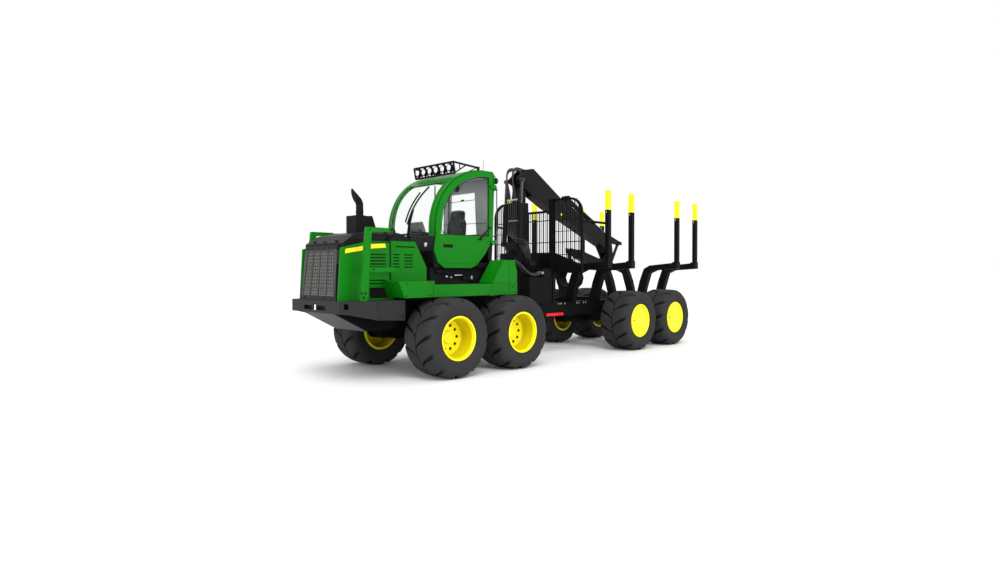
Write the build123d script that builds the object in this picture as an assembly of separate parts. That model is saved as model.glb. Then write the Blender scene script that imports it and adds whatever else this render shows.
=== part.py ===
from build123d import *
import os
from math import cos, radians, sin, tan

# Forestry forwarder: an eight-wheeled, frame-steered log carrier with a crane.
# Millimetres. X runs forward, Y to the machine's left, Z up. The origin lies on the
# ground below the middle of the machine's length and width.

# Whole machine
FRONT_END = 4850
REAR_END = -4850
SEAT_GAP = 0.3
MOVING_GAP = 8
PIN_CLEARANCE = 0.05

# Wheels and tyres
TYRE_RADIUS = 652
TYRE_WIDTH = 710
TYRE_CENTRE_Y = 1090
RIM_SEAT_RADIUS = 337
RIM_FLANGE_RADIUS = 362
RIM_WIDTH = 608
RIM_FLANGE = 14
RIM_WALL = 15
RIM_DISC = 20
FRONT_DISH = 10
REAR_DISH = 268
BOSS_RADIUS = 110
BOSS_DEPTH = 60
AXLE_PIN_RADIUS = 80
LUG_DEPTH = 30
LUG_COUNT = 12
GROOVE_SLANT = -190
GROOVE_INNER = 22
GROOVE_OUTER = 58

# Bogies
AXLE_Z = TYRE_RADIUS
FRONT_BOGIE_X = 2330
REAR_BOGIE_X = -2974
WHEEL_PITCH = 1500
BOGIE_INNER_Y = 560
BOGIE_OUTER_Y = 700
BOGIE_END_HALF = 110
BOGIE_MID_HALF = 190
SPINDLE_RADIUS = 150
AXLE_HALF_LENGTH = 170

# Frames and the middle joint
FRAME_HALF_WIDTH = 480
FRAME_BOTTOM = 780
FRONT_FRAME_TOP = 1265
FRONT_FRAME_REAR = 960
REAR_FRAME_TOP = 1080
BEAM_INNER_Y = 300
BEAM_OUTER_Y = 450
PIVOT_X = 780
PIVOT_PIN_RADIUS = 60
PIVOT_LUG_RADIUS = 110
PIVOT_LUG_BOTTOM = 790
PIVOT_LUG_TOP = 1110
PIVOT_EAR = 80
ROLL_Z = 950
ROLL_PIN_RADIUS = 130
ROLL_PIN_LENGTH = 270
ROLL_FLANGE_RADIUS = 215
HEAD_FRONT = 520
HEAD_REAR = -420
HITCH_X = -4790
HITCH_PIN_RADIUS = 25
HITCH_HALF_WIDTH = 90
HITCH_SLOT_BOTTOM = 900
HITCH_SLOT_TOP = 980

# Side skirt, hood and deck
SKIRT_TOP = 1280
SKIRT_FRONT_Y = 730
SKIRT_SIDE_Y = 1000
SKIRT_BEND_X = 4350
SKIRT_REAR = 3850
SKIRT_WALL = 12
TOW_PIN_RADIUS = 20
TOW_SLOT_BOTTOM = 1130
TOW_SLOT_TOP = 1200
STEP_SLOT_BOTTOM = 1155
STEP_SLOT_TOP = 1240
HOOD_HALF_WIDTH = 600
HOOD_REAR = 3350
HOOD_SIDE_FRONT = 4790
HOOD_SIDE_LENGTH = 940
HOOD_SIDE_REAR = HOOD_SIDE_FRONT - HOOD_SIDE_LENGTH
HOOD_SPLIT_FRONT = 2090
HOOD_SPLIT_REAR = 2185
HOOD_PANEL = 30
GRILLE_BOTTOM_X = 4805
GRILLE_TOP_X = 4735
GRILLE_TOP_Z = 2130
GRILLE_BOTTOM_HALF = 550
GRILLE_TOP_HALF = 475
GRILLE_DEPTH = 45
LOUVRE_HEIGHT = 26
LOUVRE_PITCH = 50
LOUVRE_DEPTH = 12
INTAKE_DEPTH = 20
EXHAUST_X = 4030
EXHAUST_RADIUS = 60
EXHAUST_BEND_Z = 2870
EXHAUST_TIP_X = 4176
EXHAUST_TIP_Z = 3085
DECK_HALF_WIDTH = 1050
DECK_BOTTOM = 1312
DECK_TOP = 1515

# Cab
CAB_HALF_WIDTH = 660
CAB_FLOOR = 1800
WINDOW_SILL = 2370
CAB_ROOF = 3565
CAB_WALL = 45
DOOR_WALL = 38
DOOR_HINGE_X = 1592
DOOR_HINGE_Y = 722
HINGE_PIN_RADIUS = 12
GLASS = 6

# Crane
SLEW_X = 220
PILLAR_HALF = 150
PILLAR_FOOT = 2110
LIFT_PIN = (80, 3560)
ELBOW_PIN = (-2920, 2130)
CRANK_PIN = (-2896, 2486)
LINK_PIN = (-3404, 2435)
STICK_ROD_EYE = (-3016, 2571)
STICK_CYLINDER_FOOT = (-1350, 3390)
HEEL_PIN = (-3091, 1925)
HEEL_DRIFT = 60
LIFT_FOOT = (410, 2290)
LIFT_EYE = (330, 3600)
LIFT_CYLINDER_Y = 215
TIP_X = -1490
STICK_DROP = 290
STICK_RISE = 0.25
STICK_HALF = 95
STICK_END = -1730
SLIDE_GAP = 0.5
BOOM_HALF = 123
HEAD_HALF = 75
FORK_HALF = 60
KNUCKLE_HALF = 52
LINK_HALF = 20
LINK_SLOT = 28
BOSS = 40
PIN_RADIUS = 45
SMALL_PIN_RADIUS = 28
GRAPPLE_HALF_LENGTH = 150
CLAW_PIN_Y = 80
CLAW_SPAN = 290
CLAW_HEIGHT = 520

# Load space
GATE_X = -340
GATE_HALF_WIDTH = 1250
GATE_TOP = 3240
STAKE_Y = 1398
STAKE_SIZE = 92
STAKE_TOP = 3400
STAKE_TIP_BOTTOM = 3000
BUNK_X = [-1000, -1860, -3800, -4680]
BUNK_LENGTH = 140
BUNK_ARM_END = 1450
BUNK_BASE_TOP = 1160
BUNK_POCKET_TOP = 1960
GATE_TUBE = 45
GATE_BAR = 18
GATE_POST_Y = 455
GATE_BOTTOM = 1700
GATE_PLATE_TOP = 2130
GATE_PLATE_END = 1860


def save(name, *shapes):
    """Writes one sub-part, made of one or more solids."""
    solids = [solid for shape in shapes for solid in shape.solids()]
    whole = solids[0] if len(solids) == 1 else Compound(children=solids)
    export_step(whole, f"parts/{name}.step")


def block(x0, x1, y0, y1, z0, z1):
    """A box between two corners."""
    centre = Pos((x0 + x1) / 2, (y0 + y1) / 2, (z0 + z1) / 2)
    return centre * Box(abs(x1 - x0), abs(y1 - y0), abs(z1 - z0))


def outline(points, radius=0):
    """A flat face inside a closed outline, with one corner radius."""
    if radius:
        return make_face(FilletPolyline(*points, radius=radius, close=True))
    return make_face(Polyline(*points, close=True))


def from_side(face, y0, y1):
    """A face drawn in (x, z), made solid from y0 to y1."""
    plane = Plane(origin=(0, min(y0, y1), 0), x_dir=(1, 0, 0), z_dir=(0, -1, 0))
    return extrude(plane * face, abs(y1 - y0), dir=(0, 1, 0))


def from_above(face, z0, z1):
    """A face drawn in (x, y), made solid from z0 to z1."""
    return extrude(Pos(0, 0, z0) * face, z1 - z0, dir=(0, 0, 1))


def from_front(face, x0, x1):
    """A face drawn in (y, z), made solid from x0 to x1."""
    plane = Plane(origin=(x0, 0, 0), x_dir=(0, 1, 0), z_dir=(1, 0, 0))
    return extrude(plane * face, x1 - x0, dir=(1, 0, 0))


def bar(start, end, radius):
    """A round bar between two points."""
    run = Vector(*end) - Vector(*start)
    return extrude(Plane(origin=start, z_dir=run) * Circle(radius), run.length)


def both_sides(shape):
    """A piece of the left side with its mirror image on the right."""
    return shape + mirror(shape, about=Plane.XZ)


def tyre_body(drop):
    """Crowned tread and bulged walls round the Y axis, with the tread lowered by drop."""
    seat = RIM_WIDTH / 2
    half = TYRE_WIDTH / 2
    bore = RIM_SEAT_RADIUS + SEAT_GAP
    # half of the section: distance from the middle plane, radius
    wall = [
        (seat - SEAT_GAP, bore),
        (seat - SEAT_GAP, RIM_FLANGE_RADIUS + 12),
        (half - 14, 430),
        (half, 505),
        (half - 12 - drop / 4, 570 - drop / 3),
        (half - 50 - drop / 2, TYRE_RADIUS - 22 - drop),
        (half - 110, TYRE_RADIUS - 4 - drop),
        (half - 200, TYRE_RADIUS - drop),
    ]
    section = wall + [(-y, r) for y, r in reversed(wall)]
    return revolve(Plane.YZ * outline(section), Axis.Y)


def tyre():
    """Tyre with two rows of wide lugs, half a pitch apart, between slanted grooves."""
    whole = tyre_body(0)
    carcass = tyre_body(LUG_DEPTH)
    pitch = 360 / LUG_COUNT
    outer_y = TYRE_WIDTH / 2 + 20
    grooves = []
    for side in (-1, 1):
        # along the tread, away from the middle plane
        plan = outline([
            (-GROOVE_INNER / 2, 0),
            (GROOVE_INNER / 2, 0),
            (GROOVE_SLANT + GROOVE_OUTER / 2, side * outer_y),
            (GROOVE_SLANT - GROOVE_OUTER / 2, side * outer_y),
        ])
        groove = from_above(plan, TYRE_RADIUS - 150, TYRE_RADIUS + 50) - carcass
        grooves += [groove.rotate(Axis.Y, pitch * (number + side / 4)) for number in range(LUG_COUNT)]
    return whole.cut(*grooves)


def rim(dish):
    """Rim with its disc; dish is how far the disc's outer face lies from the middle."""
    seat = RIM_WIDTH / 2
    edge = seat + RIM_FLANGE
    inner = RIM_SEAT_RADIUS - RIM_WALL
    bore = AXLE_PIN_RADIUS + PIN_CLEARANCE
    cap = dish + 30
    back = dish - RIM_DISC
    # distance from the middle plane, radius
    section = [
        (-edge, inner),
        (-edge, RIM_FLANGE_RADIUS),
        (-seat, RIM_FLANGE_RADIUS),
        (-seat, RIM_SEAT_RADIUS),
        (seat, RIM_SEAT_RADIUS),
        (seat, RIM_FLANGE_RADIUS),
        (edge, RIM_FLANGE_RADIUS),
        (edge, inner),
        (dish, inner - 25),
        (dish, BOSS_RADIUS),
        (cap, BOSS_RADIUS - 15),
        (cap, 0),
        (dish, 0),
        (dish, bore),
        (back - BOSS_DEPTH, bore),
        (back - BOSS_DEPTH, BOSS_RADIUS),
        (back, BOSS_RADIUS),
        (back, inner),
    ]
    return revolve(Plane.YZ * outline(section), Axis.Y)


def bogie_axle(centre_x, dish):
    """Cross housing with a bogie case, spindles and axle pins at each end."""
    reach = WHEEL_PITCH / 2 + SPINDLE_RADIUS + 20
    case = [
        (centre_x - reach, AXLE_Z - BOGIE_END_HALF),
        (centre_x - reach, AXLE_Z + BOGIE_END_HALF),
        (centre_x - 260, AXLE_Z + BOGIE_MID_HALF),
        (centre_x + 260, AXLE_Z + BOGIE_MID_HALF),
        (centre_x + reach, AXLE_Z + BOGIE_END_HALF),
        (centre_x + reach, AXLE_Z - BOGIE_END_HALF),
        (centre_x + 260, AXLE_Z - BOGIE_MID_HALF),
        (centre_x - 260, AXLE_Z - BOGIE_MID_HALF),
    ]
    side = from_side(outline(case, 70), BOGIE_INNER_Y, BOGIE_OUTER_Y)
    boss_back = TYRE_CENTRE_Y + dish - RIM_DISC - BOSS_DEPTH
    for offset in (-WHEEL_PITCH / 2, WHEEL_PITCH / 2):
        x = centre_x + offset
        side += bar((x, BOGIE_OUTER_Y - 10, AXLE_Z), (x, boss_back - MOVING_GAP, AXLE_Z), SPINDLE_RADIUS)
        side += bar((x, BOGIE_OUTER_Y, AXLE_Z), (x, TYRE_CENTRE_Y + dish - 5, AXLE_Z), AXLE_PIN_RADIUS)
    housing = block(
        centre_x - AXLE_HALF_LENGTH, centre_x + AXLE_HALF_LENGTH,
        -BOGIE_INNER_Y - 5, BOGIE_INNER_Y + 5,
        AXLE_Z - 115, FRAME_BOTTOM - SEAT_GAP,
    )
    return both_sides(side) + housing


def wheels():
    # wheel number from the front, x of its axle, depth of its dish
    table = [
        (1, FRONT_BOGIE_X + WHEEL_PITCH / 2, FRONT_DISH),
        (2, FRONT_BOGIE_X - WHEEL_PITCH / 2, FRONT_DISH),
        (3, REAR_BOGIE_X + WHEEL_PITCH / 2, REAR_DISH),
        (4, REAR_BOGIE_X - WHEEL_PITCH / 2, REAR_DISH),
    ]
    plain_tyre = tyre()
    for number, x, dish in table:
        place = Pos(x, TYRE_CENTRE_Y, AXLE_Z)
        left_rim = place * rim(dish)
        left_tyre = place * plain_tyre
        save(f"tyre_left_{number}", left_tyre)
        save(f"rim_left_{number}", left_rim)
        save(f"tyre_right_{number}", mirror(left_tyre, about=Plane.XZ))
        save(f"rim_right_{number}", mirror(left_rim, about=Plane.XZ))
    save("front_axle", bogie_axle(FRONT_BOGIE_X, FRONT_DISH))
    save("rear_axle", bogie_axle(REAR_BOGIE_X, REAR_DISH))


def front_frame():
    """Box frame with its sloped nose and the two ears of the steering pivot."""
    side = [
        (FRONT_FRAME_REAR, FRAME_BOTTOM),
        (4200, FRAME_BOTTOM),
        (FRONT_END - 45, 1100),
        (FRONT_END - 45, FRONT_FRAME_TOP),
        (FRONT_FRAME_REAR, FRONT_FRAME_TOP),
    ]
    body = from_side(outline(side), -FRAME_HALF_WIDTH, FRAME_HALF_WIDTH)
    ear_plan = outline([
        (FRONT_FRAME_REAR + 10, -330),
        (FRONT_FRAME_REAR + 10, 330),
        (PIVOT_X, PIVOT_LUG_RADIUS),
        (PIVOT_X, -PIVOT_LUG_RADIUS),
    ]) + Pos(PIVOT_X, 0) * Circle(PIVOT_LUG_RADIUS)
    upper = PIVOT_LUG_TOP + MOVING_GAP
    lower = PIVOT_LUG_BOTTOM - MOVING_GAP
    body += from_above(ear_plan, upper, upper + PIVOT_EAR)
    body += from_above(ear_plan, lower - PIVOT_EAR, lower)
    body += block(FRONT_FRAME_REAR, FRONT_FRAME_REAR + 300, -330, 330, lower - PIVOT_EAR, FRAME_BOTTOM)
    bore = PIVOT_PIN_RADIUS + PIN_CLEARANCE
    body -= bar((PIVOT_X, 0, 0), (PIVOT_X, 0, FRONT_FRAME_TOP + 100), bore)
    save("front_frame", body)


def pivot_link():
    """Middle joint: the steering pin stands between the ears, the roll pin points back."""
    upper = PIVOT_LUG_TOP + MOVING_GAP + PIVOT_EAR
    lower = PIVOT_LUG_BOTTOM - MOVING_GAP - PIVOT_EAR
    flange_front = HEAD_FRONT + MOVING_GAP + 40
    link = bar((PIVOT_X, 0, PIVOT_LUG_BOTTOM), (PIVOT_X, 0, PIVOT_LUG_TOP), PIVOT_LUG_RADIUS)
    link += bar((PIVOT_X, 0, lower), (PIVOT_X, 0, upper), PIVOT_PIN_RADIUS)
    link += block(flange_front - 20, PIVOT_X, -90, 90, PIVOT_LUG_BOTTOM + 40, PIVOT_LUG_TOP - 40)
    link += bar((flange_front, 0, ROLL_Z), (HEAD_FRONT + MOVING_GAP, 0, ROLL_Z), ROLL_FLANGE_RADIUS)
    link += bar((flange_front, 0, ROLL_Z), (HEAD_FRONT - ROLL_PIN_LENGTH, 0, ROLL_Z), ROLL_PIN_RADIUS)
    save("pivot_link", link)


def rear_frame():
    """Ladder frame of two box beams, with a head that holds the roll bearing."""
    head = block(HEAD_REAR, HEAD_FRONT, -BEAM_OUTER_Y, BEAM_OUTER_Y, 720, REAR_FRAME_TOP)
    head -= bar(
        (HEAD_FRONT + 10, 0, ROLL_Z),
        (HEAD_FRONT - ROLL_PIN_LENGTH - 10, 0, ROLL_Z),
        ROLL_PIN_RADIUS + PIN_CLEARANCE,
    )
    frame = head
    for side in (-1, 1):
        frame += block(
            REAR_END, HEAD_REAR, side * BEAM_INNER_Y, side * BEAM_OUTER_Y, FRAME_BOTTOM, REAR_FRAME_TOP
        )
    for x in (-1020, -1860, REAR_BOGIE_X, -3800, REAR_END + 60):
        frame += block(x - 60, x + 60, -BEAM_INNER_Y - 5, BEAM_INNER_Y + 5, FRAME_BOTTOM + 40, REAR_FRAME_TOP - 20)
    frame -= block(REAR_END - 10, REAR_END + 130, -HITCH_HALF_WIDTH, HITCH_HALF_WIDTH,
                   HITCH_SLOT_BOTTOM, HITCH_SLOT_TOP)
    frame -= bar((HITCH_X, 0, FRAME_BOTTOM), (HITCH_X, 0, REAR_FRAME_TOP + 10), HITCH_PIN_RADIUS)
    save("rear_frame", frame)


def skirt():
    """Bumper and side skirts below the hood, one bent plate with a flat top."""
    plan = [
        (FRONT_END, -SKIRT_FRONT_Y),
        (FRONT_END, SKIRT_FRONT_Y),
        (SKIRT_BEND_X, SKIRT_SIDE_Y),
        (SKIRT_REAR, SKIRT_SIDE_Y),
        (SKIRT_REAR, -SKIRT_SIDE_Y),
        (SKIRT_BEND_X, -SKIRT_SIDE_Y),
    ]
    face = outline(plan)
    shell = from_above(face, 950, SKIRT_TOP)
    room = offset(face, amount=-SKIRT_WALL)
    shell -= from_above(room, 940, FRONT_FRAME_TOP + SEAT_GAP)
    lower_edge = [
        (FRONT_END + 50, 940),
        (FRONT_END + 50, 1095),
        (FRONT_END - 120, 1075),
        (SKIRT_BEND_X, 990),
        (SKIRT_REAR - 50, 960),
        (SKIRT_REAR - 50, 940),
    ]
    shell -= from_side(outline(lower_edge), -1100, 1100)
    shell -= block(SKIRT_REAR - 20, SKIRT_REAR + 60, -SKIRT_SIDE_Y + 120, SKIRT_SIDE_Y - 120, 900, FRONT_FRAME_TOP)
    for side in (-1, 1):
        shell -= block(FRONT_END - 40, FRONT_END + 10, side * 70, side * 330, TOW_SLOT_BOTTOM, TOW_SLOT_TOP)
        step_slot = outline([
            (4770, side * 700), (4810, side * 820), (4750, side * 850), (4710, side * 730),
        ])
        shell -= from_above(step_slot, STEP_SLOT_BOTTOM, STEP_SLOT_TOP)
    tow_x = FRONT_END - TOW_PIN_RADIUS
    shell -= block(FRONT_END - 40, FRONT_END + 10, -45, 45, TOW_SLOT_BOTTOM, TOW_SLOT_TOP + 20)
    shell += bar((tow_x, 0, TOW_SLOT_BOTTOM - 30), (tow_x, 0, SKIRT_TOP - 5), TOW_PIN_RADIUS)
    save("skirt", shell)


def engine_block():
    save("engine_block", block(3480, 4560, -380, 380, SKIRT_TOP + SEAT_GAP, 2000))


def louvres(table, outer_y):
    """Pressed slots in the left side's sheet, ready to be cut away."""
    slots = []
    for rear_x, front_x, low_z, count in table:
        for number in range(count):
            z = low_z + number * LOUVRE_PITCH
            slots.append(block(rear_x, front_x, outer_y - LOUVRE_DEPTH, outer_y + 10, z, z + LOUVRE_HEIGHT))
    return slots


def hood():
    """Hood in three shells: black top, green side panels and green rear block."""
    crown = [
        (GRILLE_TOP_X - GRILLE_DEPTH - SEAT_GAP, HOOD_SPLIT_FRONT + 12),
        (GRILLE_TOP_X - GRILLE_DEPTH - SEAT_GAP, 2165),
        (4630, 2205),
        (4490, 2300),
        (4200, 2360),
        (3880, 2392),
        (3580, 2362),
        (3440, 2260),
        (3440, HOOD_SPLIT_REAR + 35),
        (HOOD_SIDE_REAR, HOOD_SPLIT_REAR + 35),
        (HOOD_SIDE_REAR, HOOD_SPLIT_REAR + SEAT_GAP),
        (4320, HOOD_SPLIT_REAR + SEAT_GAP),
    ]
    half = HOOD_HALF_WIDTH - 25
    across = outline([
        (-half - 60, 2000), (half + 60, 2000), (half + 60, 2140), (half - 60, 2330),
        (half - 200, 2400), (-half + 200, 2400), (-half + 60, 2330), (-half - 60, 2140),
    ])
    top = from_side(outline(crown), -half, half) & from_front(across, 3000, 5000)
    save("hood_top", top)

    panel = [
        (HOOD_SIDE_FRONT, SKIRT_TOP + SEAT_GAP),
        (HOOD_SIDE_FRONT - 50, HOOD_SPLIT_FRONT),
        (4320, HOOD_SPLIT_REAR),
        (HOOD_SIDE_REAR, HOOD_SPLIT_REAR),
        (HOOD_SIDE_REAR, SKIRT_TOP + SEAT_GAP),
    ]
    wall = from_side(outline(panel), HOOD_HALF_WIDTH - HOOD_PANEL, HOOD_HALF_WIDTH)
    # x of the rear end, x of the front end, z of the lowest slot, slots
    side_table = [
        (3930, 4232, 1735, 6),
        (3930, 4232, 1528, 2),
    ]
    intake = block(3889, 4234, HOOD_HALF_WIDTH - INTAKE_DEPTH, HOOD_HALF_WIDTH + 10, 1310, 1470)
    wall = wall.cut(intake, *louvres(side_table, HOOD_HALF_WIDTH))
    save("hood_sides", both_sides(wall))

    rear = [
        (HOOD_SIDE_REAR - SEAT_GAP, SKIRT_TOP + SEAT_GAP),
        (HOOD_SIDE_REAR - SEAT_GAP, HOOD_SPLIT_REAR + 34),
        (HOOD_REAR, HOOD_SPLIT_REAR + 34),
        (3110, 1800),
        (3110, DECK_TOP + SEAT_GAP),
        (HOOD_SIDE_REAR - 60, DECK_TOP + SEAT_GAP),
        (HOOD_SIDE_REAR - 60, SKIRT_TOP + SEAT_GAP),
    ]
    shape = from_side(outline(rear), -HOOD_HALF_WIDTH, HOOD_HALF_WIDTH)
    hollow = [
        (HOOD_SIDE_REAR + 10, DECK_TOP - 10),
        (HOOD_SIDE_REAR + 10, HOOD_SPLIT_REAR),
        (HOOD_REAR + 15, HOOD_SPLIT_REAR),
        (3145, 1790),
        (3145, DECK_TOP - 10),
    ]
    shape -= from_side(outline(hollow), -HOOD_HALF_WIDTH + HOOD_PANEL, HOOD_HALF_WIDTH - HOOD_PANEL)
    shape -= block(HOOD_SIDE_REAR - 100, HOOD_SIDE_REAR + 50, -HOOD_HALF_WIDTH + HOOD_PANEL,
                   HOOD_HALF_WIDTH - HOOD_PANEL, SKIRT_TOP - 10, DECK_TOP + 100)
    # x of the rear end, x of the front end, z of the lowest slot, slots
    rear_table = [
        (3360, 3740, 2120, 1),
        (3665, 3782, 1790, 5),
        (3403, 3567, 1790, 5),
    ]
    slots = louvres(rear_table, HOOD_HALF_WIDTH)
    shape = shape.cut(*slots, *[mirror(slot, about=Plane.XZ) for slot in slots])
    save("hood_rear", shape)


def grille():
    """Tapered front frame with four columns and a lower band of recessed mesh."""
    height = GRILLE_TOP_Z - SKIRT_TOP
    lean = (GRILLE_BOTTOM_X - GRILLE_TOP_X) / height
    face = outline([
        (-GRILLE_BOTTOM_HALF, 0),
        (GRILLE_BOTTOM_HALF, 0),
        (GRILLE_TOP_HALF, height),
        (-GRILLE_TOP_HALF, height),
    ])
    columns = 4
    bar_width = 22
    border = 60
    band_top = 190
    recess = []
    for row_bottom, row_top in ((70, band_top), (band_top + bar_width, height - 70)):
        for column in range(columns):
            corners = []
            for level, order in ((row_bottom, (0, 1)), (row_top, (1, 0))):
                half = GRILLE_BOTTOM_HALF + (GRILLE_TOP_HALF - GRILLE_BOTTOM_HALF) * level / height - border
                pitch = 2 * half / columns
                for end in order:
                    inset = bar_width / 2 if end == 0 else -bar_width / 2
                    corners.append((-half + pitch * (column + end) + inset, level))
            recess.append(outline(corners))
    front = Plane(
        origin=(GRILLE_BOTTOM_X, 0, SKIRT_TOP + SEAT_GAP), x_dir=(0, 1, 0), z_dir=(1, 0, lean)
    )
    plate = extrude(front * face, GRILLE_DEPTH, dir=(-1, 0, 0))
    for opening in recess:
        plate -= extrude(front * opening, GRILLE_DEPTH - 12, dir=(-1, 0, 0))
    save("grille", plate)


def exhaust():
    """Silencer box on the hood with a pipe that bends forward and ends in a slanted cut."""
    box = from_side(outline([
        (3790, 2383 + SEAT_GAP), (3880, 2392 + SEAT_GAP), (4190, 2361 + SEAT_GAP), (4190, 2638), (3880, 2638),
    ]), -150, 150)
    foot = (EXHAUST_X, 0, 2620)
    path = FilletPolyline(foot, (EXHAUST_X, 0, EXHAUST_BEND_Z), (EXHAUST_X + 260, 0, EXHAUST_BEND_Z + 234),
                          radius=130)
    pipe = sweep(Plane(origin=foot, z_dir=(0, 0, 1)) * Circle(EXHAUST_RADIUS), path=path)
    beyond = outline([
        (EXHAUST_TIP_X, EXHAUST_TIP_Z),
        (EXHAUST_TIP_X - 70, EXHAUST_TIP_Z - 225),
        (EXHAUST_TIP_X + 300, EXHAUST_TIP_Z - 225),
        (EXHAUST_TIP_X + 300, EXHAUST_TIP_Z + 200),
        (EXHAUST_TIP_X + 38, EXHAUST_TIP_Z + 122),
    ])
    pipe -= from_side(beyond, -100, 100)
    save("exhaust", box + pipe)


def access_rails():
    """Green access posts on the skirt, with an arm over the hood's side."""
    post = from_side(
        outline([
            (4440, SKIRT_TOP + SEAT_GAP),
            (4570, SKIRT_TOP + SEAT_GAP),
            (4460, 2400),
            (4040, 2400),
            (4040, 2340),
            (4365, 2330),
        ], 18),
        810, 860,
    )
    arm = from_side(outline([(4450, 1720), (4450, 1790), (3890, 1790), (3890, 1720)]), 820, 850)
    hook = block(3890, 3920, HOOD_HALF_WIDTH + SEAT_GAP, 850, 1720, 1790)
    save("access_rails", both_sides(post + arm + hook))


def deck():
    """Cab deck: dark centre under the cab, green side boxes and green tanks behind."""
    centre_half = HOOD_HALF_WIDTH - 10
    save("deck_centre", block(1600, 3450, -centre_half, centre_half, FRONT_FRAME_TOP + SEAT_GAP, DECK_TOP))

    side = outline([
        (1360, DECK_BOTTOM),
        (3890, DECK_BOTTOM),
        (4010, DECK_TOP + 60),
        (3300, DECK_TOP + 60),
        (3300, DECK_TOP),
        (1360, DECK_TOP),
    ])
    box = from_side(side, HOOD_HALF_WIDTH + SEAT_GAP, DECK_HALF_WIDTH)
    box += block(1600, 3440, centre_half + SEAT_GAP, HOOD_HALF_WIDTH + 1, DECK_BOTTOM, DECK_TOP)
    save("deck_sides", both_sides(box))

    tank = outline([
        (2000, DECK_TOP + SEAT_GAP),
        (1700, 1935),
        (1430, 1935),
        (1365, 1730),
        (1365, DECK_TOP + SEAT_GAP),
    ], 12)
    save("rear_tanks", both_sides(from_side(tank, 700, DECK_HALF_WIDTH)))


def cab_face():
    """Side outline of the cab: arched front, flat rear."""
    front = Polyline((1640, CAB_FLOOR), (2985, CAB_FLOOR), (3040, 2080), (2995, 2360))
    arch = ThreePointArc((2995, 2360), (2900, 2930), (2560, 3340))
    roof = ThreePointArc((2560, 3340), (2240, 3500), (1900, 3565))
    rear = Polyline((1900, 3565), (1600, 3565), (1560, 3500), (1600, WINDOW_SILL), (1640, CAB_FLOOR))
    return make_face(front + arch + roof + rear)


def cab():
    """Hollow cab with windscreen, rear and right windows and an open left side."""
    outer = cab_face()
    inner = offset(outer, amount=-CAB_WALL)
    half = CAB_HALF_WIDTH
    shell = from_side(outer, -half, half) - from_side(inner, -half + CAB_WALL, half - CAB_WALL)
    pane = offset(outer, amount=-CAB_WALL * 2)
    above_sill = block(1000, 3500, -half - 10, half + 10, WINDOW_SILL, 3450)
    windscreen = block(2450, 3200, -half + 90, half - 90, WINDOW_SILL - 30, 3290)
    rear_window = block(1500, 1720, -half + 130, half - 130, WINDOW_SILL + 60, 3380)
    shell -= from_side(pane, half - CAB_WALL - 5, half + 5)
    right_window = from_side(pane, -half - 5, -half + CAB_WALL + 5) & above_sill
    shell -= right_window
    shell -= windscreen
    shell -= rear_window
    for z in (2250, 3250):
        shell += block(1560, 1610, half - 5, DOOR_HINGE_Y + 25, z - 30, z - 5)
        shell += bar((DOOR_HINGE_X, DOOR_HINGE_Y, z - 30), (DOOR_HINGE_X, DOOR_HINGE_Y, z + 60), HINGE_PIN_RADIUS)
    save("cab_shell", shell)

    skin = offset(outer, amount=-12)
    band = from_side(skin, -half + 12, half - 12) - from_side(offset(outer, amount=-12 - GLASS), -half, half)
    front_pane = band & block(2450 + SEAT_GAP, 3200, -half + 90 + SEAT_GAP, half - 90 - SEAT_GAP,
                              WINDOW_SILL - 30 + SEAT_GAP, 3290 - SEAT_GAP)
    side_face = offset(outer, amount=-CAB_WALL * 2 - SEAT_GAP)
    side_pane = from_side(side_face, -half + 10, -half + 10 + GLASS) & block(
        1000, 3500, -half, 0, WINDOW_SILL + SEAT_GAP, 3450 - SEAT_GAP
    )
    rear_pane = block(1600, 1600 + GLASS, -half + 130 + SEAT_GAP, half - 130 - SEAT_GAP,
                      WINDOW_SILL + 60 + SEAT_GAP, 3380 - SEAT_GAP)
    save("cab_glass", front_pane, side_pane, rear_pane)

    save("cab_base", block(1660, 3000, -560, 560, DECK_TOP + SEAT_GAP, CAB_FLOOR - SEAT_GAP))


def door_face():
    """Side outline of the door, rounded below and arched above."""
    low = Polyline((1650, 2330), (1830, 2060), (2042, 1850), (2180, 1790), (2800, 1790), (2940, 1880),
                   (3020, 2080), (2975, 2360))
    arch = ThreePointArc((2975, 2360), (2880, 2920), (2545, 3320))
    roof = ThreePointArc((2545, 3320), (2230, 3480), (1900, 3545))
    rear = Polyline((1900, 3545), (1640, 3545), (1650, 2330))
    return make_face(low + arch + roof + rear)


def cab_door():
    face = door_face()
    inner_y = CAB_HALF_WIDTH + MOVING_GAP
    outer_y = inner_y + DOOR_WALL
    leaf = from_side(face, inner_y, outer_y)
    window = offset(face, amount=-105)
    sill = WINDOW_SILL
    opening = from_side(window, inner_y - 5, outer_y + 5) & block(1000, 3500, 0, 1000, sill, 3450)
    leaf -= opening
    for z in (2250, 3250):
        knuckle = bar((DOOR_HINGE_X, DOOR_HINGE_Y, z), (DOOR_HINGE_X, DOOR_HINGE_Y, z + 50), 24)
        knuckle += block(DOOR_HINGE_X, 1720, inner_y + 20, outer_y + 30, z, z + 50)
        knuckle -= block(1500, 1730, 0, inner_y, z - 5, z + 60)
        leaf += knuckle
        bore = HINGE_PIN_RADIUS + PIN_CLEARANCE
        leaf -= bar((DOOR_HINGE_X, DOOR_HINGE_Y, z - 10), (DOOR_HINGE_X, DOOR_HINGE_Y, z + 70), bore)
    save("cab_door", leaf)

    pane_face = offset(face, amount=-105 - SEAT_GAP)
    pane = from_side(pane_face, inner_y + 10, inner_y + 10 + GLASS) & block(
        1000, 3500, 0, 1000, sill + SEAT_GAP, 3450 - SEAT_GAP
    )
    save("door_glass", pane)


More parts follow.
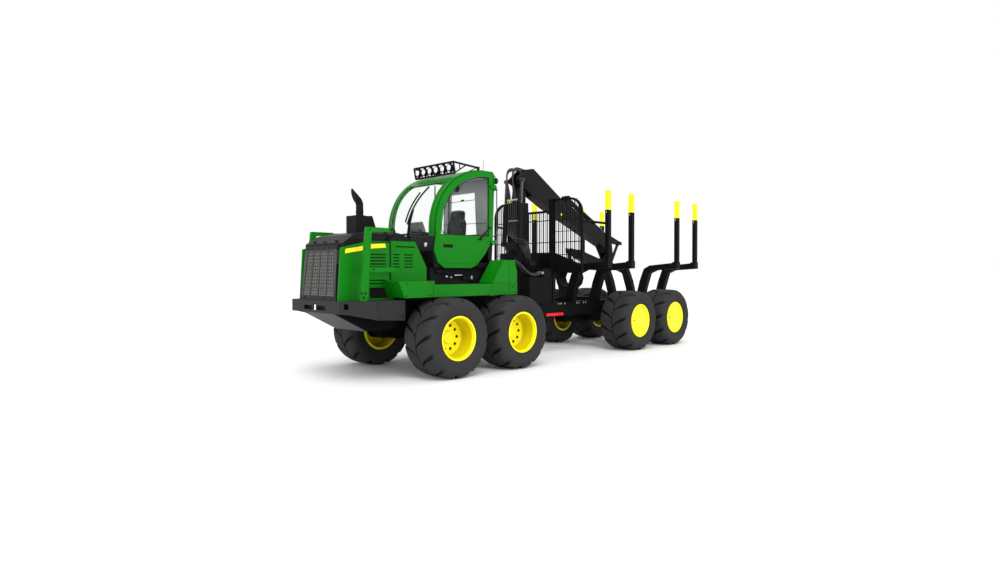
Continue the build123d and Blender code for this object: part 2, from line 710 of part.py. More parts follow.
def cab_inside():
    """Operator's seat and control console, seen through the glass."""
    floor = CAB_FLOOR + CAB_WALL + SEAT_GAP
    seat = block(2080, 2420, -150, 150, floor, 2150)
    seat += from_side(outline([(1960, 2150), (2540, 2150), (2560, 2270), (2000, 2260)], 30), -240, 240)
    seat += from_side(outline([(1880, 2240), (2040, 2240), (2000, 2900), (1840, 2880)], 40), -230, 230)
    seat += both_sides(block(2080, 2480, 245, 300, 2330, 2390))
    seat += both_sides(block(2040, 2120, 200, 300, 2200, 2390))
    console = from_side(outline([(2620, floor), (2880, floor), (2900, 2350), (2760, 2450), (2640, 2400)], 20),
                        -300, 120)
    save("operator_station", seat, console)


def light_bar():
    """Tube guard on the roof's front edge with round work lamps."""
    z = 3660
    x = 2480
    frame = bar((x, -560, z), (x, 560, z), 18)
    frame += bar((x - 40, -560, z - 190), (x - 40, 560, z - 190), 18)
    frame += both_sides(bar((x, 560, z), (x - 600, 560, z - 40), 18))
    frame += both_sides(bar((x - 40, 560, z - 190), (x, 560, z), 18))
    frame += both_sides(block(x - 620, x - 580, 540, 580, CAB_ROOF + SEAT_GAP, z - 20))
    for y in (-450, -270, -90, 90, 270, 450):
        frame += bar((x - 70, y, z - 95), (x + 10, y, z - 95), 62)
        frame += block(x - 50, x - 30, y - 15, y + 15, z - 190, z)
    save("light_bar", frame)


def crane_base():
    save("crane_base", from_above(outline([
        (-80, -330), (420, -330), (500, -250), (500, 250), (420, 330), (-80, 330), (-160, 250), (-160, -250)
    ]), REAR_FRAME_TOP + SEAT_GAP, PILLAR_FOOT - MOVING_GAP)
        - bar((SLEW_X, 0, PILLAR_FOOT - 230), (SLEW_X, 0, PILLAR_FOOT), 170 + PIN_CLEARANCE))
    chest = block(-200, 480, 331, 560, REAR_FRAME_TOP + SEAT_GAP, 1620)
    save("side_chests", both_sides(chest))
    save("lock_bar", block(-680, -140, BEAM_OUTER_Y + SEAT_GAP, BEAM_OUTER_Y + 30, 800, 860))


def stick_centre(x):
    """Height of the folded stick's centre line."""
    return ELBOW_PIN[1] - STICK_DROP + STICK_RISE * (x - ELBOW_PIN[0])


def slanted(x0, x1, half):
    """Side outline of a box that follows the stick's centre line."""
    return outline([
        (x0, stick_centre(x0) - half),
        (x1, stick_centre(x1) - half),
        (x1, stick_centre(x1) + half),
        (x0, stick_centre(x0) + half),
    ])


def cross_pin(place, radius, half):
    """A round pin across the crane at (x, z)."""
    x, z = place
    return bar((x, -half, z), (x, half, z), radius)


def crane_pillar():
    """Slewing pillar: spigot, foot flange, column and a narrow head for the lift pin."""
    top_x, top_z = LIFT_PIN
    neck = 3150
    pillar = bar((SLEW_X, 0, PILLAR_FOOT - 200), (SLEW_X, 0, PILLAR_FOOT + 10), 170)
    pillar += bar((SLEW_X, 0, PILLAR_FOOT), (SLEW_X, 0, PILLAR_FOOT + 70), 260)
    column = outline([
        (SLEW_X + PILLAR_HALF - 20, PILLAR_FOOT + 60),
        (SLEW_X + PILLAR_HALF - 20, neck),
        (SLEW_X - PILLAR_HALF, neck),
        (SLEW_X - PILLAR_HALF - 30, PILLAR_FOOT + 60),
    ])
    pillar += from_side(column, -PILLAR_HALF, PILLAR_HALF)
    head = outline([
        (SLEW_X + PILLAR_HALF - 20, neck - 10),
        (SLEW_X + PILLAR_HALF - 60, 3400),
        (top_x + 90, top_z + 70),
        (top_x - 70, top_z + 70),
        (top_x - 90, top_z - 40),
        (SLEW_X - PILLAR_HALF, 3300),
        (SLEW_X - PILLAR_HALF, neck - 10),
    ])
    pillar += from_side(head, -HEAD_HALF, HEAD_HALF)
    pillar += cross_pin(LIFT_PIN, PIN_RADIUS, BOOM_HALF)
    foot_x, foot_z = LIFT_FOOT
    pillar += block(SLEW_X + 100, foot_x + 40, -PILLAR_HALF, PILLAR_HALF, PILLAR_FOOT + 60, foot_z + 45)
    pillar += cross_pin(LIFT_FOOT, SMALL_PIN_RADIUS, LIFT_CYLINDER_Y + 55)
    save("crane_pillar", pillar)


def main_boom():
    """Box boom: two cheeks round the pillar's head, a fork round the stick's knuckle."""
    x0, z0 = LIFT_PIN
    x1, z1 = ELBOW_PIN
    eye_x, eye_z = LIFT_EYE
    crank_x, crank_z = CRANK_PIN
    foot_x, foot_z = STICK_CYLINDER_FOOT
    face = outline([
        (x0 + 40, z0 - 120),
        (eye_x + 45, eye_z - 50),
        (eye_x + 45, eye_z + 40),
        (x0 + 60, z0 + 280),
        (x0 - 200, z0 + 330),
        (-1000, 3360),
        (-2180, 2850),
        (crank_x, crank_z + 55),
        (crank_x - 60, crank_z),
        (x1 - 90, z1 + 60),
        (x1 - 60, z1 - 80),
        (x1 + 90, z1 - 80),
        (-2640, 2330),
        (-1960, 2580),
        (-590, 3110),
    ], 25)
    boom = from_side(face, -BOOM_HALF, BOOM_HALF)
    boom -= block(x0 - 230, x0 + 500, -HEAD_HALF - MOVING_GAP, HEAD_HALF + MOVING_GAP, z0 - 400, z0 + 230)
    boom -= block(x1 - 500, x1 + 330, -FORK_HALF, FORK_HALF, z1 - 300, z1 + 800)
    boom -= cross_pin(LIFT_PIN, PIN_RADIUS + PIN_CLEARANCE, 200)
    boom += cross_pin(ELBOW_PIN, PIN_RADIUS, BOOM_HALF)
    boom += both_sides(bar((crank_x, LINK_SLOT, crank_z), (crank_x, BOOM_HALF, crank_z), SMALL_PIN_RADIUS))
    for side in (-1, 1):
        boom += bar(
            (eye_x, side * (BOOM_HALF - 5), eye_z), (eye_x, side * (LIFT_CYLINDER_Y - 60), eye_z), 42
        )
        cheek = outline([
            (foot_x - 150, foot_z - 200), (foot_x + 110, foot_z - 200), (foot_x + 40, foot_z + 40),
            (foot_x - 40, foot_z + 40),
        ])
        boom += from_side(cheek, side * 60, side * 85)
    boom += cross_pin(STICK_CYLINDER_FOOT, SMALL_PIN_RADIUS, 85)
    save("main_boom", boom)


def stick():
    """Folded stick: knuckle on the elbow pin, hollow box for the extension."""
    x0, z0 = ELBOW_PIN
    heel_x, heel_z = HEEL_PIN
    start = x0 + 150
    knuckle = outline([
        (x0 - 60, z0 + 55),
        (x0 + 60, z0 + 55),
        (x0 + 110, z0 - 60),
        (start + 120, stick_centre(start + 120) + STICK_HALF),
        (start + 60, stick_centre(start + 60) - STICK_HALF),
        (start - 110, stick_centre(start - 110) - STICK_HALF),
        (heel_x + 20, heel_z - BOSS + 5),
        (heel_x - BOSS + 6, heel_z + 16),
    ])
    plates = from_side(knuckle, -KNUCKLE_HALF, KNUCKLE_HALF)
    plates += cross_pin(HEEL_PIN, BOSS, KNUCKLE_HALF)
    plates -= cross_pin(HEEL_PIN, BOSS + HEEL_DRIFT, LINK_SLOT)
    beam = from_side(slanted(start, STICK_END, STICK_HALF), -STICK_HALF, STICK_HALF)
    wall = 20
    inside = slanted(start + 70, STICK_END + 50, STICK_HALF - wall)
    shape = plates + beam
    shape -= from_side(inside, -STICK_HALF + wall, STICK_HALF - wall)
    shape -= cross_pin(ELBOW_PIN, PIN_RADIUS + PIN_CLEARANCE, 100)
    save("stick", shape)

    half = STICK_HALF - wall - SLIDE_GAP
    tip_z = stick_centre(TIP_X)
    inner = from_side(slanted(start + 80, TIP_X - 110, half), -half, half)
    inner += from_side(slanted(TIP_X - 120, TIP_X + 55, 55), -half, half)
    inner -= block(TIP_X - 95, TIP_X + 100, -40, 40, tip_z - 200, tip_z + 200)
    inner += cross_pin((TIP_X, tip_z), SMALL_PIN_RADIUS, half)
    save("stick_extension", inner)


def grapple():
    """Hanger with rotator housing, turning grapple head and two claws."""
    x = TIP_X
    pin_z = stick_centre(TIP_X)
    housing_top = pin_z - 180
    housing_bottom = pin_z - 280
    hanger = cross_pin((x, pin_z), 42, 32)
    hanger += block(x - 34, x + 34, -32, 32, housing_top - 5, pin_z)
    hanger += bar((x, 0, housing_top), (x, 0, housing_bottom), 90)
    hanger -= cross_pin((x, pin_z), SMALL_PIN_RADIUS + PIN_CLEARANCE, 60)
    hanger -= bar((x, 0, housing_bottom + 70), (x, 0, housing_bottom - 10), 40 + PIN_CLEARANCE)
    save("rotator", hanger)

    head_top = housing_bottom - MOVING_GAP
    head_bottom = head_top - 110
    claw_z = head_bottom + 35
    head = block(x - 58, x + 58, -CLAW_PIN_Y - 35, CLAW_PIN_Y + 35, head_bottom, head_top)
    head += bar((x, 0, head_top - 5), (x, 0, housing_bottom + 65), 40)
    for side in (-1, 1):
        y = side * CLAW_PIN_Y
        head += bar((x - GRAPPLE_HALF_LENGTH, y, claw_z), (x + GRAPPLE_HALF_LENGTH, y, claw_z), 20)
    save("grapple_head", head)

    # distance from the middle plane, height above the claw's pin
    section = [
        (44, 30), (70, 46), (125, 40), (230, -80), (CLAW_SPAN, -240), (250, -380), (140, -480),
        (6, 30 - CLAW_HEIGHT), (6, 75 - CLAW_HEIGHT), (115, -415), (195, -330), (222, -235),
        (165, -110), (50, -40),
    ]
    claw = from_front(outline([(y, claw_z + z) for y, z in section]),
                      x - GRAPPLE_HALF_LENGTH, x + GRAPPLE_HALF_LENGTH)
    claw -= block(x - 66, x + 66, 0, 200, claw_z - 95, claw_z + 60)
    claw -= bar((x - 150, CLAW_PIN_Y, claw_z), (x + 150, CLAW_PIN_Y, claw_z), 20 + PIN_CLEARANCE)
    save("claw_left", claw)
    save("claw_right", mirror(claw, about=Plane.XZ))


def towards(start, end, distance):
    """Point on the line from start to end, in (x, z)."""
    run = Vector(end[0] - start[0], end[1] - start[1])
    share = distance / run.length
    return (start[0] + run.X * share, start[1] + run.Y * share)


def cylinder(foot, eye, y, barrel_radius, rod_radius, barrel_length, eye_half):
    """Barrel with its foot eye, and the rod that slides in it with the rod's eye."""
    reach = Vector(eye[0] - foot[0], eye[1] - foot[1]).length

    def along(distance):
        x, z = towards(foot, eye, distance)
        return (x, y, z)

    barrel = bar(along(30), along(barrel_length), barrel_radius)
    barrel += bar((foot[0], y - eye_half, foot[1]), (foot[0], y + eye_half, foot[1]), 48)
    barrel -= bar(along(110), along(barrel_length + 10), rod_radius + PIN_CLEARANCE)
    barrel -= bar((foot[0], y - 100, foot[1]), (foot[0], y + 100, foot[1]), SMALL_PIN_RADIUS + PIN_CLEARANCE)
    rod = bar(along(reach - barrel_length + 180), along(reach - 20), rod_radius)
    rod += bar((eye[0], y - eye_half, eye[1]), (eye[0], y + eye_half, eye[1]), 42)
    return barrel, rod


def crane_cylinders():
    """Lift cylinders beside the pillar, stick cylinder above the boom, crank and link."""
    barrel, rod = cylinder(LIFT_FOOT, LIFT_EYE, LIFT_CYLINDER_Y, 52, 34, 830, 50)
    save("lift_barrels", both_sides(barrel))
    save("lift_rods", both_sides(rod))
    barrel, rod = cylinder(STICK_CYLINDER_FOOT, STICK_ROD_EYE, 0, 50, 22, 1180, LINK_HALF)
    save("stick_barrel", barrel)
    save("stick_rod", rod)

    crank_x, crank_z = CRANK_PIN
    link_x, link_z = LINK_PIN
    eye_x, eye_z = STICK_ROD_EYE
    face = outline([
        (crank_x + 32, crank_z + 25), (eye_x + 20, eye_z + 34), (eye_x - 34, eye_z + 20),
        (link_x - 10, link_z + BOSS), (link_x - 95, link_z + 30), (link_x - 95, link_z - 45),
        (link_x - 10, link_z - BOSS), (crank_x, crank_z - BOSS + 4), (crank_x + 30, crank_z - 20),
    ])
    crank = both_sides(from_side(face, LINK_SLOT + 2, KNUCKLE_HALF))
    crank += both_sides(bar((crank_x, LINK_SLOT + 2, crank_z), (crank_x, KNUCKLE_HALF, crank_z), BOSS))
    crank += block(link_x - 95, link_x - 58, -KNUCKLE_HALF, KNUCKLE_HALF, link_z - 45, link_z + 30)
    crank -= cross_pin(CRANK_PIN, SMALL_PIN_RADIUS + PIN_CLEARANCE, 100)
    crank += cross_pin(LINK_PIN, 24, KNUCKLE_HALF)
    save("bell_crank", crank)

    heel_x, heel_z = HEEL_PIN
    link = bar((link_x, -LINK_HALF, link_z), (link_x, LINK_HALF, link_z), BOSS)
    link += bar((heel_x, -LINK_HALF, heel_z), (heel_x, LINK_HALF, heel_z), BOSS - 4)
    link += from_side(outline([
        (link_x + 26, link_z + 16), (link_x - 26, link_z - 16), (heel_x - 26, heel_z - 16),
        (heel_x + 26, heel_z + 16),
    ]), -LINK_HALF, LINK_HALF)
    link -= cross_pin(LINK_PIN, 24 + PIN_CLEARANCE, 60)
    save("stick_link", link)


def load_space():
    """Bunks with raised arms, stakes with yellow tips, and the barred headboard."""
    bottom = REAR_FRAME_TOP + SEAT_GAP
    half = [
        (520, bottom),
        (575, 1330),
        (690, 1690),
        (860, 1762),
        (BUNK_ARM_END, 1800),
        (BUNK_ARM_END, BUNK_POCKET_TOP),
        (STAKE_Y - 70, BUNK_POCKET_TOP),
        (STAKE_Y - 90, 1935),
        (700, 1880),
        (540, 1800),
        (420, 1500),
        (330, BUNK_BASE_TOP),
    ]
    face = outline(half + [(-y, z) for y, z in reversed(half)], 12)
    bunks = []
    stakes = []
    tips = []
    size = STAKE_SIZE / 2
    for x in BUNK_X:
        bunks.append(from_front(face, x - BUNK_LENGTH / 2, x + BUNK_LENGTH / 2))
        for y in (-STAKE_Y, STAKE_Y):
            stakes.append(block(x - size, x + size, y - size, y + size,
                                BUNK_POCKET_TOP + SEAT_GAP, STAKE_TIP_BOTTOM))
            tips.append(block(x - size, x + size, y - size, y + size,
                              STAKE_TIP_BOTTOM + SEAT_GAP, STAKE_TOP))
    save("bunks", *bunks)
    save("stakes", *stakes)
    save("stake_tips", *tips)

    top = GATE_TOP
    notch = 3010
    frame_corners = [
        (-GATE_HALF_WIDTH, GATE_BOTTOM), (-GATE_HALF_WIDTH, top), (-GATE_POST_Y, top),
        (-GATE_POST_Y + 55, notch), (GATE_POST_Y - 55, notch), (GATE_POST_Y, top),
        (GATE_HALF_WIDTH, top), (GATE_HALF_WIDTH, GATE_BOTTOM),
    ]
    face = make_face(FilletPolyline(*frame_corners, radius=[30, 320, 20, 20, 20, 20, 320, 30], close=True))
    x0 = GATE_X - GATE_TUBE / 2
    x1 = GATE_X + GATE_TUBE / 2
    gate = from_front(face, x0, x1) - from_front(offset(face, amount=-GATE_TUBE), x0 - 5, x1 + 5)
    plate = outline([
        (-GATE_HALF_WIDTH, GATE_BOTTOM), (-GATE_HALF_WIDTH, GATE_PLATE_END), (-GATE_POST_Y - 55, GATE_PLATE_TOP),
        (GATE_POST_Y + 55, GATE_PLATE_TOP), (GATE_HALF_WIDTH, GATE_PLATE_END), (GATE_HALF_WIDTH, GATE_BOTTOM),
    ])
    gate += from_front(face, x0 + 15, x1 - 15) & from_front(plate, x0, x1)
    lattice = None
    for number in range(-11, 12):
        y = number * 105
        if abs(abs(y) - GATE_POST_Y) < 60:
            continue
        rod = block(GATE_X - GATE_BAR / 2, GATE_X + GATE_BAR / 2, y - GATE_BAR / 2, y + GATE_BAR / 2,
                    GATE_PLATE_END - 20, top)
        lattice = rod if lattice is None else lattice + rod
    for z in (2330, 2790):
        lattice += block(GATE_X - GATE_BAR / 2, GATE_X + GATE_BAR / 2, -GATE_HALF_WIDTH, GATE_HALF_WIDTH,
                         z, z + GATE_BAR)
    gate += lattice & from_front(face, x0, x1)
    for side in (-1, 1):
        gate += block(GATE_X - 45, GATE_X + 45, side * (GATE_POST_Y - 55), side * (GATE_POST_Y + 55),
                      bottom, top)
        gate += bar((GATE_X, side * (GATE_HALF_WIDTH - 10), 2750),
                    (BUNK_X[0], side * (STAKE_Y - 10), 2720), 24)
        reach = size + SEAT_GAP
        gate -= block(BUNK_X[0] - 100, BUNK_X[0] + reach, side * (STAKE_Y - 90), side * (STAKE_Y + 90),
                      2600, 2850)
    save("headboard", gate)


def build():
    os.makedirs("parts", exist_ok=True)
    wheels()
    front_frame()
    pivot_link()
    rear_frame()
    skirt()
    engine_block()
    hood()
    grille()
    exhaust()
    access_rails()
    deck()
    cab()
    cab_door()
    cab_inside()
    light_bar()
    crane_base()
    crane_pillar()
    main_boom()
    stick()
    grapple()
    crane_cylinders()
    load_space()


build()
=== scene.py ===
from math import cos, pi, radians, sin, sqrt

import bpy
from mathutils import Matrix, Vector


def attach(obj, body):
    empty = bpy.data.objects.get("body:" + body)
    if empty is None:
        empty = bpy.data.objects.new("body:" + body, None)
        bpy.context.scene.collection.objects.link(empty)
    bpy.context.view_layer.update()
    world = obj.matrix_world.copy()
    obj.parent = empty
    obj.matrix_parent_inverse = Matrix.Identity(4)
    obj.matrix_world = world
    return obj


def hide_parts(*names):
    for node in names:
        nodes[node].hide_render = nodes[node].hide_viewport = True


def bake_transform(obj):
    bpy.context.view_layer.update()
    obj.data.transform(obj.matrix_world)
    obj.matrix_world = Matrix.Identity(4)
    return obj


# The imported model
# The frame brings every solid in, in metres, with +X forward, +Y to the left and +Z up.
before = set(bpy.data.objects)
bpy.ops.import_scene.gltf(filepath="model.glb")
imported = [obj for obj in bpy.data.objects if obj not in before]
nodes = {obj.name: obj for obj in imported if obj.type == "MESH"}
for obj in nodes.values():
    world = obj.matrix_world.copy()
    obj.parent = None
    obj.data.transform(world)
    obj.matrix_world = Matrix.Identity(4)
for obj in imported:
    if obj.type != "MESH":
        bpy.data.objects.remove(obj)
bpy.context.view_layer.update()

# Camera, floor and light
# A wide lens at eye height ahead of the machine's left front corner, a white studio floor,
# a white room, one broad high light from the front left and two weak fills.
CAMERA_DOWN = 0.807
CAMERA_TURN = -135.105
bpy.ops.object.camera_add(
    location=(9.714, 8.929, 1.716),
    rotation=(radians(90 - CAMERA_DOWN), 0, radians(CAMERA_TURN - 90)),
)
camera = bpy.context.object
camera.data.sensor_width = 36
camera.data.lens = 22.53
camera.data.clip_end = 400
bpy.context.scene.camera = camera

bpy.ops.mesh.primitive_plane_add(size=500)
floor = bpy.context.object
floor.name = "studio_floor"
floor_paint = bpy.data.materials.new("studio_floor_paint")
floor_paint.use_nodes = True
floor_shader = floor_paint.node_tree.nodes["Principled BSDF"]
for socket, value in (("Base Color", (0.83, 0.83, 0.83, 1)), ("Roughness", 0.7), ("Specular IOR Level", 0.1)):
    floor_shader.inputs[socket].default_value = value
floor.data.materials.append(floor_paint)

world = bpy.data.worlds.new("studio_air")
bpy.context.scene.world = world
world.use_nodes = True
air = world.node_tree.nodes["Background"].inputs
air["Color"].default_value = (1, 1, 1, 1)
air["Strength"].default_value = 1.0
bpy.ops.object.light_add(type="SUN", location=(8, 10, 14))
broad = bpy.context.object
broad.name = "lamp_broad"
broad.data.energy = 1.5
broad.data.angle = radians(35)
broad.rotation_euler = Vector((-0.45, -0.62, -1)).to_track_quat("-Z", "Y").to_euler()
for name, place, target, size, power in (
    ("lamp_left", (3, 13, 5), (0, 0, 1.6), 6, 420),
    ("lamp_front", (14, 3, 4), (3, 0, 1.6), 4, 260),
):
    bpy.ops.object.light_add(type="AREA", location=place)
    lamp = bpy.context.object
    lamp.name = name
    lamp.data.shape = "DISK"
    lamp.data.size = size
    lamp.data.energy = power
    lamp.rotation_euler = (Vector(target) - Vector(place)).to_track_quat("-Z", "Y").to_euler()
bpy.context.scene.view_settings.view_transform = "Standard"

# Hood sides and rear
# Pressed steel doors and a rear block in glossy green enamel, with louvres pressed out of
# the sheet, a rubber seal between door and block, and a plain yellow bar along each side.


def wire(made, node, sockets):
    """Fills sockets: outputs of other nodes are linked, numbers and colours are written in."""
    for socket, value in sockets.items():
        if isinstance(value, bpy.types.NodeSocket):
            made.node_tree.links.new(value, node.inputs[socket])
        else:
            node.inputs[socket].default_value = value


def add_node(made, kind, sockets=None):
    """Adds a shader node to a material and fills its sockets."""
    node = made.node_tree.nodes.new("ShaderNode" + kind)
    wire(made, node, sockets or {})
    return node


def mix(made, share, first, second):
    """A mixture of two colours; a share of 1 gives the second."""
    node = add_node(made, "Mix")
    node.data_type = "RGBA"
    wire(made, node, {"Factor": share, 6: first, 7: second})
    return node.outputs[2]


def finish(name, colour, rough=0.4, shade=0.12, grain=0.0006, size=2.0, coat=0.0, metal=0.0, shine=0.4):
    """A sprayed or cast surface: slow colour drift, uneven gloss and a fine orange-peel bump."""
    made = bpy.data.materials.new(name)
    made.use_nodes = True
    place = add_node(made, "TexCoord").outputs["Object"]
    drift = add_node(made, "TexNoise", {"Scale": size, "Detail": 5, "Vector": place}).outputs["Fac"]
    dark = [c * (1 - shade) for c in colour]
    light = [min(1, c * (1 + shade)) for c in colour]
    haze = add_node(made, "MapRange", {"To Min": rough - 0.08, "To Max": rough + 0.12, "Value": drift})
    peel = add_node(made, "TexNoise", {"Scale": 180, "Detail": 2, "Vector": place})
    bump = add_node(made, "Bump", {"Distance": grain, "Strength": 0.35, "Height": peel.outputs["Fac"]})
    wire(made, made.node_tree.nodes["Principled BSDF"], {
        "Metallic": metal, "Coat Weight": coat, "Coat Roughness": 0.12, "Specular IOR Level": shine,
        "Base Color": mix(made, drift, (*dark, 1), (*light, 1)), "Roughness": haze.outputs["Result"],
        "Normal": bump.outputs["Normal"],
    })
    return made


def dress(material, *names):
    """Gives CAD nodes a finished material."""
    for name in names:
        for place in nodes[name].material_slots:
            place.material = material


def pick(piece):
    """Leaves one piece selected and active."""
    bpy.ops.object.select_all(action="DESELECT")
    piece.select_set(True)
    bpy.context.view_layer.objects.active = piece


def settle(piece, name, material, body):
    """Names a piece, moves its place into its mesh and lets it ride on a body, if one is named."""
    pick(piece)
    bpy.ops.object.transform_apply(location=True, rotation=True, scale=True)
    piece.name = name
    piece.data.materials.clear()
    piece.data.materials.append(material)
    if body:
        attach(piece, body)
    return piece


def join(pieces):
    """Joins finished meshes into one piece."""
    bpy.ops.object.select_all(action="DESELECT")
    for piece in pieces:
        piece.select_set(True)
    bpy.context.view_layer.objects.active = pieces[0]
    bpy.ops.object.join()
    return pieces[0]


def smooth(piece, angle=35):
    """Shades a piece smooth, but for edges sharper than an angle."""
    pick(piece)
    bpy.ops.object.shade_smooth_by_angle(angle=radians(angle))
    return piece


def fit(parts, name, material, body="front_frame", flat=False):
    """Joins parts into a finished piece, shaded smooth unless it stays flat."""
    piece = join(parts)
    if not flat:
        smooth(piece)
    return settle(piece, name, material, body)


def round_edges(edge, rounds=2, sharp=False):
    """Rounds the edges of the active piece by a width, if there is one."""
    if not edge:
        return
    bpy.ops.object.mode_set(mode="EDIT")
    bpy.ops.mesh.select_all(action="SELECT")
    if sharp:
        bpy.ops.mesh.edges_select_sharp(sharpness=radians(60))
    bpy.ops.mesh.bevel(offset=edge, segments=rounds, affect="EDGES")
    bpy.ops.object.mode_set(mode="OBJECT")


def brick(low, high, edge=0.0, rounds=2):
    """A block between two corners."""
    bpy.ops.mesh.primitive_cube_add(size=1, location=[(a + b) / 2 for a, b in zip(low, high)])
    piece = bpy.context.object
    piece.scale = [abs(b - a) for a, b in zip(low, high)]
    bpy.ops.object.transform_apply(location=True, rotation=True, scale=True)
    round_edges(edge, rounds)
    return piece


def plate(points, seen, start, depth, edge=0.0, rounds=2):
    """A sheet cut to an outline seen from the side, the front or above, and given a thickness."""
    across, upward, inward = {"side": (0, 2, 1), "front": (1, 2, 0), "top": (0, 1, 2)}[seen]
    bpy.ops.mesh.primitive_circle_add(vertices=len(points), fill_type="NGON")
    piece = bpy.context.object
    for vertex, point in zip(piece.data.vertices, points):
        vertex.co[across] = point[0]
        vertex.co[upward] = point[1]
        vertex.co[inward] = start
    push = [0, 0, 0]
    push[inward] = depth
    bpy.ops.object.mode_set(mode="EDIT")
    bpy.ops.mesh.select_all(action="SELECT")
    bpy.ops.mesh.extrude_region_move(TRANSFORM_OT_translate={"value": push})
    bpy.ops.mesh.select_all(action="SELECT")
    bpy.ops.mesh.normals_make_consistent(inside=False)
    bpy.ops.object.mode_set(mode="OBJECT")
    round_edges(edge, rounds)
    return piece


def rod(start, end, radius, sides=12, edge=0.0):
    """A straight bar between two points, its rims rounded if an edge is given."""
    start, end = Vector(start), Vector(end)
    run = end - start
    bpy.ops.mesh.primitive_cylinder_add(
        vertices=sides, radius=radius, depth=run.length, location=(start + end) / 2,
        rotation=run.to_track_quat("Z", "Y").to_euler(),
    )
    piece = bpy.context.object
    round_edges(edge, sharp=True)
    return piece


def tube(points, radius, order=4):
    """A smooth tube along a NURBS line through its control points."""
    curve = bpy.data.curves.new("tube_line", "CURVE")
    curve.dimensions = "3D"
    curve.bevel_depth = radius
    curve.bevel_resolution = 2
    curve.resolution_u = 8
    curve.use_fill_caps = True
    line = curve.splines.new("NURBS")
    line.points.add(len(points) - 1)
    for point, place in zip(line.points, points):
        point.co = (*place, 1)
    line.order_u = order
    line.use_endpoint_u = True
    piece = bpy.data.objects.new("tube", curve)
    bpy.context.collection.objects.link(piece)
    pick(piece)
    bpy.ops.object.convert(target="MESH")
    return piece


def mirror(value, side):
    """A point, or a list of points, with its Y times side; a number stays."""
    if isinstance(value, list):
        return [mirror(point, side) for point in value]
    return (value[0], side * value[1], value[2]) if isinstance(value, tuple) else value


def both(shape, *values):
    """A shape made on each side of the machine, as one list of parts."""
    parts = []
    for side in (-1, 1):
        result = shape(*[mirror(value, side) for value in values])
        parts += result if isinstance(result, list) else [result]
    return parts


HOOD_HALF = 0.6
LOUVRE_STEP = 0.05
hood_green = finish("hood_green_enamel", (0.002, 0.158, 0.003), rough=0.34, shade=0.08, coat=0.03, shine=0.12)
dress(hood_green, "hood_sides", "hood_rear")
slot_dark = finish("louvre_slot_shadow", (0.004, 0.012, 0.004), rough=0.8, shade=0.2, shine=0.1)
lips = []
shadows = []
# x of the rear end, x of the front end, z of the lowest slot, slots
louvre_table = (
    (3.93, 4.232, 1.735, 6), (3.93, 4.232, 1.528, 2), (3.36, 3.74, 2.12, 1),
    (3.665, 3.782, 1.79, 5), (3.403, 3.567, 1.79, 5),
)
# a lip's outline: distance out from the hood's side, height over the slot's foot
lip_line = ((-0.002, 0.026), (0.008, 0.019), (0.009, 0.023), (0.004, 0.031), (-0.001, 0.035))
for rear_x, front_x, low_z, count in louvre_table:
    for number in range(count):
        z = low_z + number * LOUVRE_STEP
        shadows += both(brick, (rear_x + 0.001, HOOD_HALF - 0.0115, z + 0.001),
                        (front_x - 0.001, HOOD_HALF - 0.009, z + 0.025))
        for side in (-1, 1):
            outline = [(side * (HOOD_HALF + out), z + up) for out, up in lip_line]
            lips.append(plate(outline, "front", rear_x - 0.004, front_x - rear_x + 0.008))
for side in (-1, 1):
    lips.append(plate([(4.546, 2.02), (4.556, 2.02), (4.611, 1.306), (4.601, 1.306)],
                      "side", side * (HOOD_HALF - 0.001), side * 0.006, 0.002))
lips += both(brick, (3.862, 0.599, 2.196), (4.3, 0.604, 2.206), 0.002)
fit(lips, "hood_louvre_lips", hood_green)
fit(shadows, "hood_louvre_slots", slot_dark, flat=True)

bar_yellow = finish("hood_bar_yellow", (0.93, 0.74, 0.012), rough=0.3, shade=0.05)
bars = [plate(
    [(4.668, 2.002), (4.358, 2.053), (4.219, 2.084), (3.93, 2.108), (3.946, 2.172), (4.219, 2.152),
     (4.366, 2.12), (4.66, 2.068)],
    "side", side * (HOOD_HALF - 0.001), side * 0.005, 0.0015) for side in (-1, 1)]
fit(bars, "hood_yellow_bars", bar_yellow, flat=True)

rubber_black = finish("seal_rubber_black", (0.006, 0.006, 0.0065), rough=0.6, shade=0.2, size=20, shine=0.12)
seals = both(tube, [
    (3.85, 0.608, 1.59), (3.85, 0.608, 1.7), (3.85, 0.608, 2.0), (3.85, 0.608, 2.18), (3.85, 0.596, 2.235),
    (3.85, 0.56, 2.3), (3.85, 0.52, 2.35), (3.85, 0.38, 2.405),
], 0.009)
for z in (1.312, 1.468):
    seals += both(rod, (3.89, HOOD_HALF, z), (4.234, HOOD_HALF, z), 0.006, 8)
fit(seals, "hood_rubber_seals", rubber_black)

# Intake mesh
# A black punched sheet low in each hood door, set back in its pressed frame.
screen_black = finish("intake_screen_black", (0.006, 0.006, 0.007), rough=0.45, shade=0.2, metal=0.5)
STRAND_STEP = 0.0133
strands = both(brick, (3.891, 0.5805, 1.312), (4.232, 0.583, 1.468))
for number in range(12):
    z = 1.318 + number * STRAND_STEP
    strands += both(rod, (3.891, 0.59, z), (4.232, 0.59, z), 0.0028, 4)
for number in range(26):
    x = 3.897 + number * STRAND_STEP
    strands += both(rod, (x, 0.591, 1.311), (x, 0.591, 1.469), 0.0028, 4)
fit(strands, "hood_intake_mesh", screen_black, flat=True)

# Access posts
# Bent green plates on the skirt, bolted at the foot, each with a black tube handrail from
# the arm's end down to the hood's lid.


def bolts(places, outward, radius=0.011, height=0.008):
    """Hexagon heads on washers at a list of places, pointing outward."""
    outward = Vector(outward).normalized()
    heads = []
    for place in places:
        place = Vector(place)
        heads.append(rod(place - outward * 0.004, place + outward * 0.002, radius * 1.5, 16))
        heads.append(rod(place, place + outward * height, radius, 6, 0.001))
    return heads


